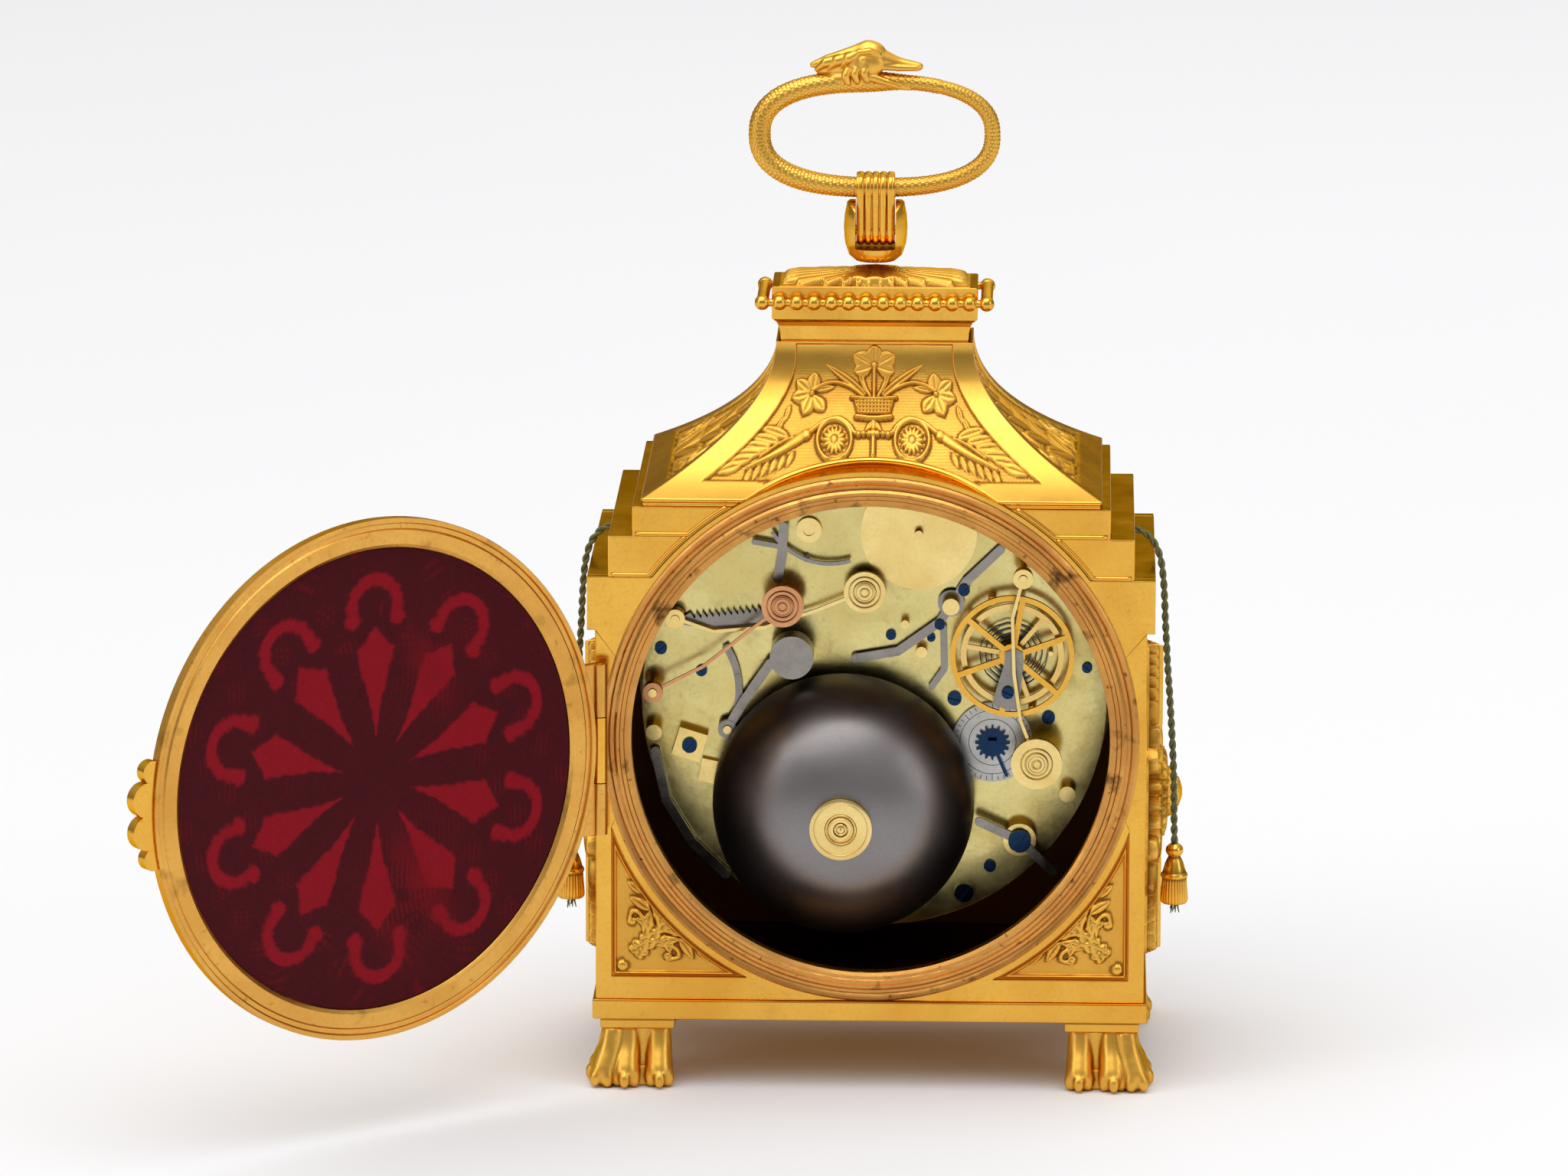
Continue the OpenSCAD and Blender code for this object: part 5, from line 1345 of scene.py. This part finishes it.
def fret_light(x, z):
    """1 inside the spear and scroll openings of the door's fret, 0 outside."""
    lit = np.zeros_like(x)
    spear_at = [9, 16, 25.4, 27.4, 27.9, 32]
    spear_half = [0.0, 1.3, 4.2, 4.6, 3.6, 0.0]
    for k in range(10):
        a = math.radians(90 + 36 * k)
        u = x * math.cos(a) + z * math.sin(a)
        v = -x * math.sin(a) + z * math.cos(a)
        wobble = 0.12 * np.sin(u * 2.1 + k) + 0.1 * np.sin(v * 3.3 + 2 * k)
        half = np.interp(u, spear_at, spear_half, left=-1, right=-1)
        lit = np.maximum(lit, ease((half - np.abs(v) + wobble) / 0.5 + 0.5))
        from_center = np.hypot(u - 36.2, v)
        turn = np.abs(np.degrees(np.arctan2(v, u - 36.2)))
        arc = np.where(turn < 112, 1.3 - np.abs(from_center - 5.6), -1)
        ends = np.maximum(1.8 - np.hypot(u - 33.6, v - 5.5), 1.8 - np.hypot(u - 33.6, v + 5.5))
        lit = np.maximum(lit, ease((np.maximum(arc, ends) + wobble) / 0.5 + 0.5))
    return lit


def door_silk():
    rings, sides = 150, 300
    r = np.linspace(0.0, 1.0, rings)[1:] ** 0.75
    angle = 2 * np.pi * np.arange(sides) / sides
    x = (SILK_R * r[:, None] * np.cos(angle)).reshape(-1)
    z = (SILK_R * r[:, None] * np.sin(angle)).reshape(-1)
    x = np.append(x, 0.0)
    z = np.append(z, 0.0)
    slack = 0.05 * np.sin(x * 0.21 + 0.6) * np.cos(z * 0.17) + 0.035 * np.sin(x * 0.07 - z * 0.11)
    slack *= ease((1 - np.hypot(x, z) / SILK_R) / 0.1)
    n = len(x)
    half = 0.09
    face = np.stack([x, SILK_Y + half + slack, z + AXIS_Z], 1)
    back = np.stack([x, SILK_Y - half + slack, z + AXIS_Z], 1)
    verts = door_pose(np.vstack([face, back]))
    faces = grid_faces(rings - 1, sides, wrap_v=True)
    faces += [(n - 1, k, (k + 1) % sides) for k in range(sides)]
    faces += [tuple(n + i for i in reversed(f)) for f in list(faces)]
    rim = (rings - 2) * sides
    faces += [(rim + k, n + rim + k, n + rim + (k + 1) % sides, rim + (k + 1) % sides) for k in range(sides)]
    piece = outward(mesh_piece("silk_lining", verts, faces, M["crimson_silk"]))
    lit = fret_light(x, z)
    r_at = np.hypot(x, z)
    streak = np.sin(x * 5.1 + 2 * np.sin(z * 0.35)) * np.sin(z * 0.33 + x * 0.2) + 0.6 * np.sin(x * 0.41 - z * 0.27)
    blot = 0.55 * ease((streak - 0.9) / 0.5) * ease((r_at / SILK_R - 0.25) / 0.4)
    patch = np.exp(-(((x + 9) / 9) ** 2 + ((z + 24) / 12) ** 2)) + 0.8 * np.exp(
        -(((x + 14) / 7) ** 2 + ((z - 22) / 9) ** 2)
    )
    blot = np.clip(blot + patch * ease((streak + 0.5) / 0.6) * 0.95, 0, 1)
    set_attribute(piece, "lit", np.concatenate([lit, lit]))
    set_attribute(piece, "blot", np.concatenate([blot, blot]))
    weave = piece.data.attributes.new("weave", "FLOAT_VECTOR", "POINT")
    coords = np.zeros((2 * n, 3), np.float32)
    coords[:, 0] = np.concatenate([x, x]) * 2.6
    coords[:, 1] = np.concatenate([z, z]) * 1.55
    weave.data.foreach_set("vector", coords.reshape(-1))
    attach(piece, "rear_door")
    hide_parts("door_silk")


door_silk()


# ---------------------------------------------------------------- dial numerals and minute ring
DIAL_FACE_Y = 28.6


def flat_box(center, half_long, half_wide, angle):
    """A thin printed bar on the dial; angle turns its long side, in radians."""
    c, s = math.cos(angle), math.sin(angle)
    out = []
    for y in (DIAL_FACE_Y - 0.02, DIAL_FACE_Y + 0.03):
        for a, b in ((-1, -1), (1, -1), (1, 1), (-1, 1)):
            du, dv = a * half_long, b * half_wide
            out.append((center[0] + du * c - dv * s, y, AXIS_Z + center[1] + du * s + dv * c))
    return out, [(0, 1, 2, 3), (7, 6, 5, 4), (0, 4, 5, 1), (1, 5, 6, 2), (2, 6, 7, 3), (3, 7, 4, 0)]


def dial_print():
    parts = []
    for k in range(60):
        a = 2 * math.pi * k / 60
        half = 1.15 if k % 5 == 0 else 0.7
        parts.append(flat_box((42.3 * math.cos(a), 42.3 * math.sin(a)), half, 0.26 if k % 5 == 0 else 0.12, a))
    for radius in (43.6, 41.0):
        sides = 180
        ring = []
        for y in (DIAL_FACE_Y - 0.02, DIAL_FACE_Y + 0.03):
            for r in (radius - 0.09, radius + 0.09):
                for k in range(sides):
                    a = 2 * math.pi * k / sides
                    ring.append((r * math.cos(a), y, AXIS_Z + r * math.sin(a)))
        faces = []
        for k in range(sides):
            n = (k + 1) % sides
            i0, o0, i1, o1 = 0, sides, 2 * sides, 3 * sides
            faces += [(i0 + k, i0 + n, o0 + n, o0 + k), (i1 + k, o1 + k, o1 + n, i1 + n)]
            faces += [(i0 + k, i1 + k, i1 + n, i0 + n), (o0 + k, o0 + n, o1 + n, o1 + k)]
        parts.append((ring, faces))
    strokes = {"I": [("|", 0)], "V": [("\\", -0.8), ("/", 0.8)], "X": [("\\", 0), ("/", 0)]}
    numerals = ["XII", "I", "II", "III", "IIII", "V", "VI", "VII", "VIII", "IX", "X", "XI"]
    width = {"I": 1.5, "V": 3.2, "X": 3.2}
    for hour, text in enumerate(numerals):
        # the dial is read from +Y, where +X is on the left
        a = math.radians(90 + 30 * hour)
        total = sum(width[c] for c in text)
        at = -total / 2
        for c in text:
            middle = at + width[c] / 2
            at += width[c]
            for kind, shift in strokes[c]:
                lean = {"|": 0.0, "\\": -0.28, "/": 0.28}[kind]
                thick = {"|": 0.34, "\\": 0.36, "/": 0.14}[kind]
                offset = middle + shift
                radial, side = (math.cos(a), math.sin(a)), (math.sin(a), -math.cos(a))
                center = (35.5 * radial[0] - offset * side[0], 35.5 * radial[1] - offset * side[1])
                parts.append(flat_box(center, 3.4, thick, a + lean))
    verts, faces = join_parts(parts)
    piece = outward(mesh_piece("dial_print", verts, faces, M["dial_ink"], smooth=False))
    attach(piece, "case")


dial_print()

# ---------------------------------------------------------------- regulator scale
REG = (25.1, 66.1)


def regulator_scale():
    """Fine engraved marks round the regulator's silvered disc."""
    parts = []
    for k in range(40):
        a = 2 * math.pi * k / 40
        long = 0.75 if k % 5 == 0 else 0.42
        c, s = math.cos(a), math.sin(a)
        mid = 8.3 - long
        box = []
        for y in (2.93, 2.86):
            for u, v in ((-1, -1), (1, -1), (1, 1), (-1, 1)):
                du, dv = u * long, v * 0.07
                box.append((REG[0] + (mid + du) * c - dv * s, y, REG[1] + (mid + du) * s + dv * c))
        parts.append((box, [(3, 2, 1, 0), (4, 5, 6, 7), (0, 1, 5, 4), (1, 2, 6, 5), (2, 3, 7, 6), (3, 0, 4, 7)]))
    for radius in (5.0, 6.9):
        path = [
            (
                REG[0] + radius * math.cos(a), 2.9, REG[1] + radius * math.sin(a)
            ) for a in np.linspace(0, 2 * math.pi, 64, endpoint=False)
        ]
        parts.append(sweep(path, np.full(64, 0.07), 6, closed=True))
    verts, faces = join_parts(parts)
    piece = outward(mesh_piece("regulator_marks", verts, faces, M["dial_ink"], smooth=False))
    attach(piece, "case")


regulator_scale()


# ---------------------------------------------------------------- strap ribs and turned rings
def strap_ribs():
    """Five round ribs round the handle's strap."""
    pivot, lower, upper = 176.7, 2.74, 2.92
    side = [(lower * math.cos(a), pivot + lower * math.sin(a)) for a in np.linspace(math.pi, 2 * math.pi, 24)]
    side += [(upper * math.cos(a), GRIP_Z + upper * math.sin(a)) for a in np.linspace(0, math.pi, 24)]
    path = np.array([(0.0, y, z) for y, z in side])
    along = np.concatenate([[0], np.cumsum(np.linalg.norm(np.diff(np.vstack([path, path[:1]]), axis=0), axis=1))])
    loop = np.vstack([path, path[:1]])
    even = np.linspace(0, along[-1], 110, endpoint=False)
    path = np.stack([np.interp(even, along, loop[:, k]) for k in range(3)], 1)
    parts = []
    for k in range(5):
        verts, faces = sweep(path, np.full(len(path), 0.46), 12, closed=True, up=(1, 0, 0))
        shape = verts.reshape(len(path), 12, 3)
        shape[..., 0] *= 1.55
        shape[..., 0] += -3.1 + 1.55 * k
        parts.append((shape.reshape(-1, 3), faces))
    verts, faces = join_parts(parts)
    ribs = outward(mesh_piece("strap_ribs", verts, faces, M["polished_gilt"]))
    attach(ribs, "handle")


strap_ribs()


def turned_rings(name, body, node, center, radii, material):
    """Fine raised rings on the rear face of a small turned disc."""
    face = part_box(node)[0][1] / MM
    parts = []
    for r, thick in radii:
        count = max(24, int(r * 14))
        loop = [
            (center[0] + r * math.cos(a), face, center[1] + r * math.sin(a))
            for a in np.linspace(0, 2 * math.pi, count, endpoint=False)
        ]
        parts.append(sweep(loop, np.full(count, thick), 8, closed=True))
    verts, faces = join_parts(parts)
    rings = outward(mesh_piece(name, verts, faces, material))
    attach(rings, body)


DISC_RINGS = [(3.3, 0.13), (2.35, 0.16), (1.75, 0.1), (0.9, 0.2)]
turned_rings("copper_disc_rings", "hammer_copper", "hammer_copper", (-19.2, 96.9), DISC_RINGS, M["copper"])
turned_rings(
    "upper_disc_rings", "hammer_brass_upper", "hammer_brass_upper", (-2.0, 99.2), DISC_RINGS,
    M["yellow_brass"]
)
turned_rings(
    "lower_disc_rings", "hammer_brass_lower", "hammer_brass_lower", (34.5, 63.8), DISC_RINGS,
    M["yellow_brass"]
)
turned_rings(
    "bell_nut_rings", "case", "bell_nut", (-6.3, 54.2), [(5.6, 0.14), (3.1, 0.16), (2.3, 0.12), (1.1, 0.25)],
    M["yellow_brass"]
)


# ---------------------------------------------------------------- floor and light
def studio():
    reach = 9.0
    verts = [(-reach, -reach, 0), (reach, -reach, 0), (reach, reach, 0), (-reach, reach, 0)]
    faces = [(0, 1, 2, 3)]
    g = Graph("studio_paper")
    paper = g.mix(g.noise(3, 3), (0.80, 0.80, 0.81), (0.82, 0.82, 0.83))
    floor = mesh_piece(
        "studio_floor", verts, faces, g.surface(Base_Color=paper, Roughness=0.7, Specular_IOR_Level=0.2), mm=False
    )

    def softbox(name, at, aim, size, power, color=(1, 1, 1)):
        light = bpy.data.lights.new(name, "AREA")
        light.shape = "RECTANGLE"
        light.size, light.size_y = size
        light.energy = power
        light.color = color
        obj = bpy.data.objects.new(name, light)
        scene.collection.objects.link(obj)
        obj.location = at
        obj.rotation_euler = (Vector(aim) - Vector(at)).to_track_quat("-Z", "Y").to_euler()

    target = (0, 0, 0.1)
    softbox("light_top", (0.0, -0.25, 1.5), target, (1.4, 1.0), 5)
    softbox("light_left", (-1.5, -0.9, 0.75), target, (0.7, 1.2), 4.5)
    softbox("light_right", (1.5, -0.8, 0.7), target, (0.6, 1.1), 3)
    softbox("light_back", (0.5, 1.3, 1.1), target, (1.2, 0.6), 2.5)

    sky = bpy.data.lights.new("light_ceiling", "SUN")
    sky.energy = 1.2
    sky.angle = math.radians(70)
    ceiling = bpy.data.objects.new("light_ceiling", sky)
    scene.collection.objects.link(ceiling)
    ceiling.rotation_euler = Vector((0.2, 0.3, -1.0)).to_track_quat("-Z", "Y").to_euler()

    world = bpy.data.worlds.new("studio")
    scene.world = world
    world.use_nodes = True
    tree = world.node_tree
    tree.nodes.clear()
    coord = tree.nodes.new("ShaderNodeTexCoord")
    split = tree.nodes.new("ShaderNodeSeparateXYZ")
    tree.links.new(coord.outputs["Generated"], split.inputs[0])
    ramp = tree.nodes.new("ShaderNodeValToRGB")
    ramp.color_ramp.elements[0].position = 0.0
    ramp.color_ramp.elements[0].color = (0.10, 0.10, 0.105, 1)
    ramp.color_ramp.elements[1].position = 1.0
    ramp.color_ramp.elements[1].color = (1.0, 1.0, 1.0, 1)
    lift = tree.nodes.new("ShaderNodeMapRange")
    lift.inputs[1].default_value = -0.2
    lift.inputs[2].default_value = 1.0
    tree.links.new(split.outputs["Z"], lift.inputs[0])
    tree.links.new(lift.outputs[0], ramp.inputs[0])
    back = tree.nodes.new("ShaderNodeBackground")
    back.inputs["Strength"].default_value = 0.8
    out = tree.nodes.new("ShaderNodeOutputWorld")
    tree.links.new(ramp.outputs[0], back.inputs["Color"])
    tree.links.new(back.outputs[0], out.inputs["Surface"])
    scene.view_settings.view_transform = "Standard"
    scene.view_settings.look = "None"


studio()
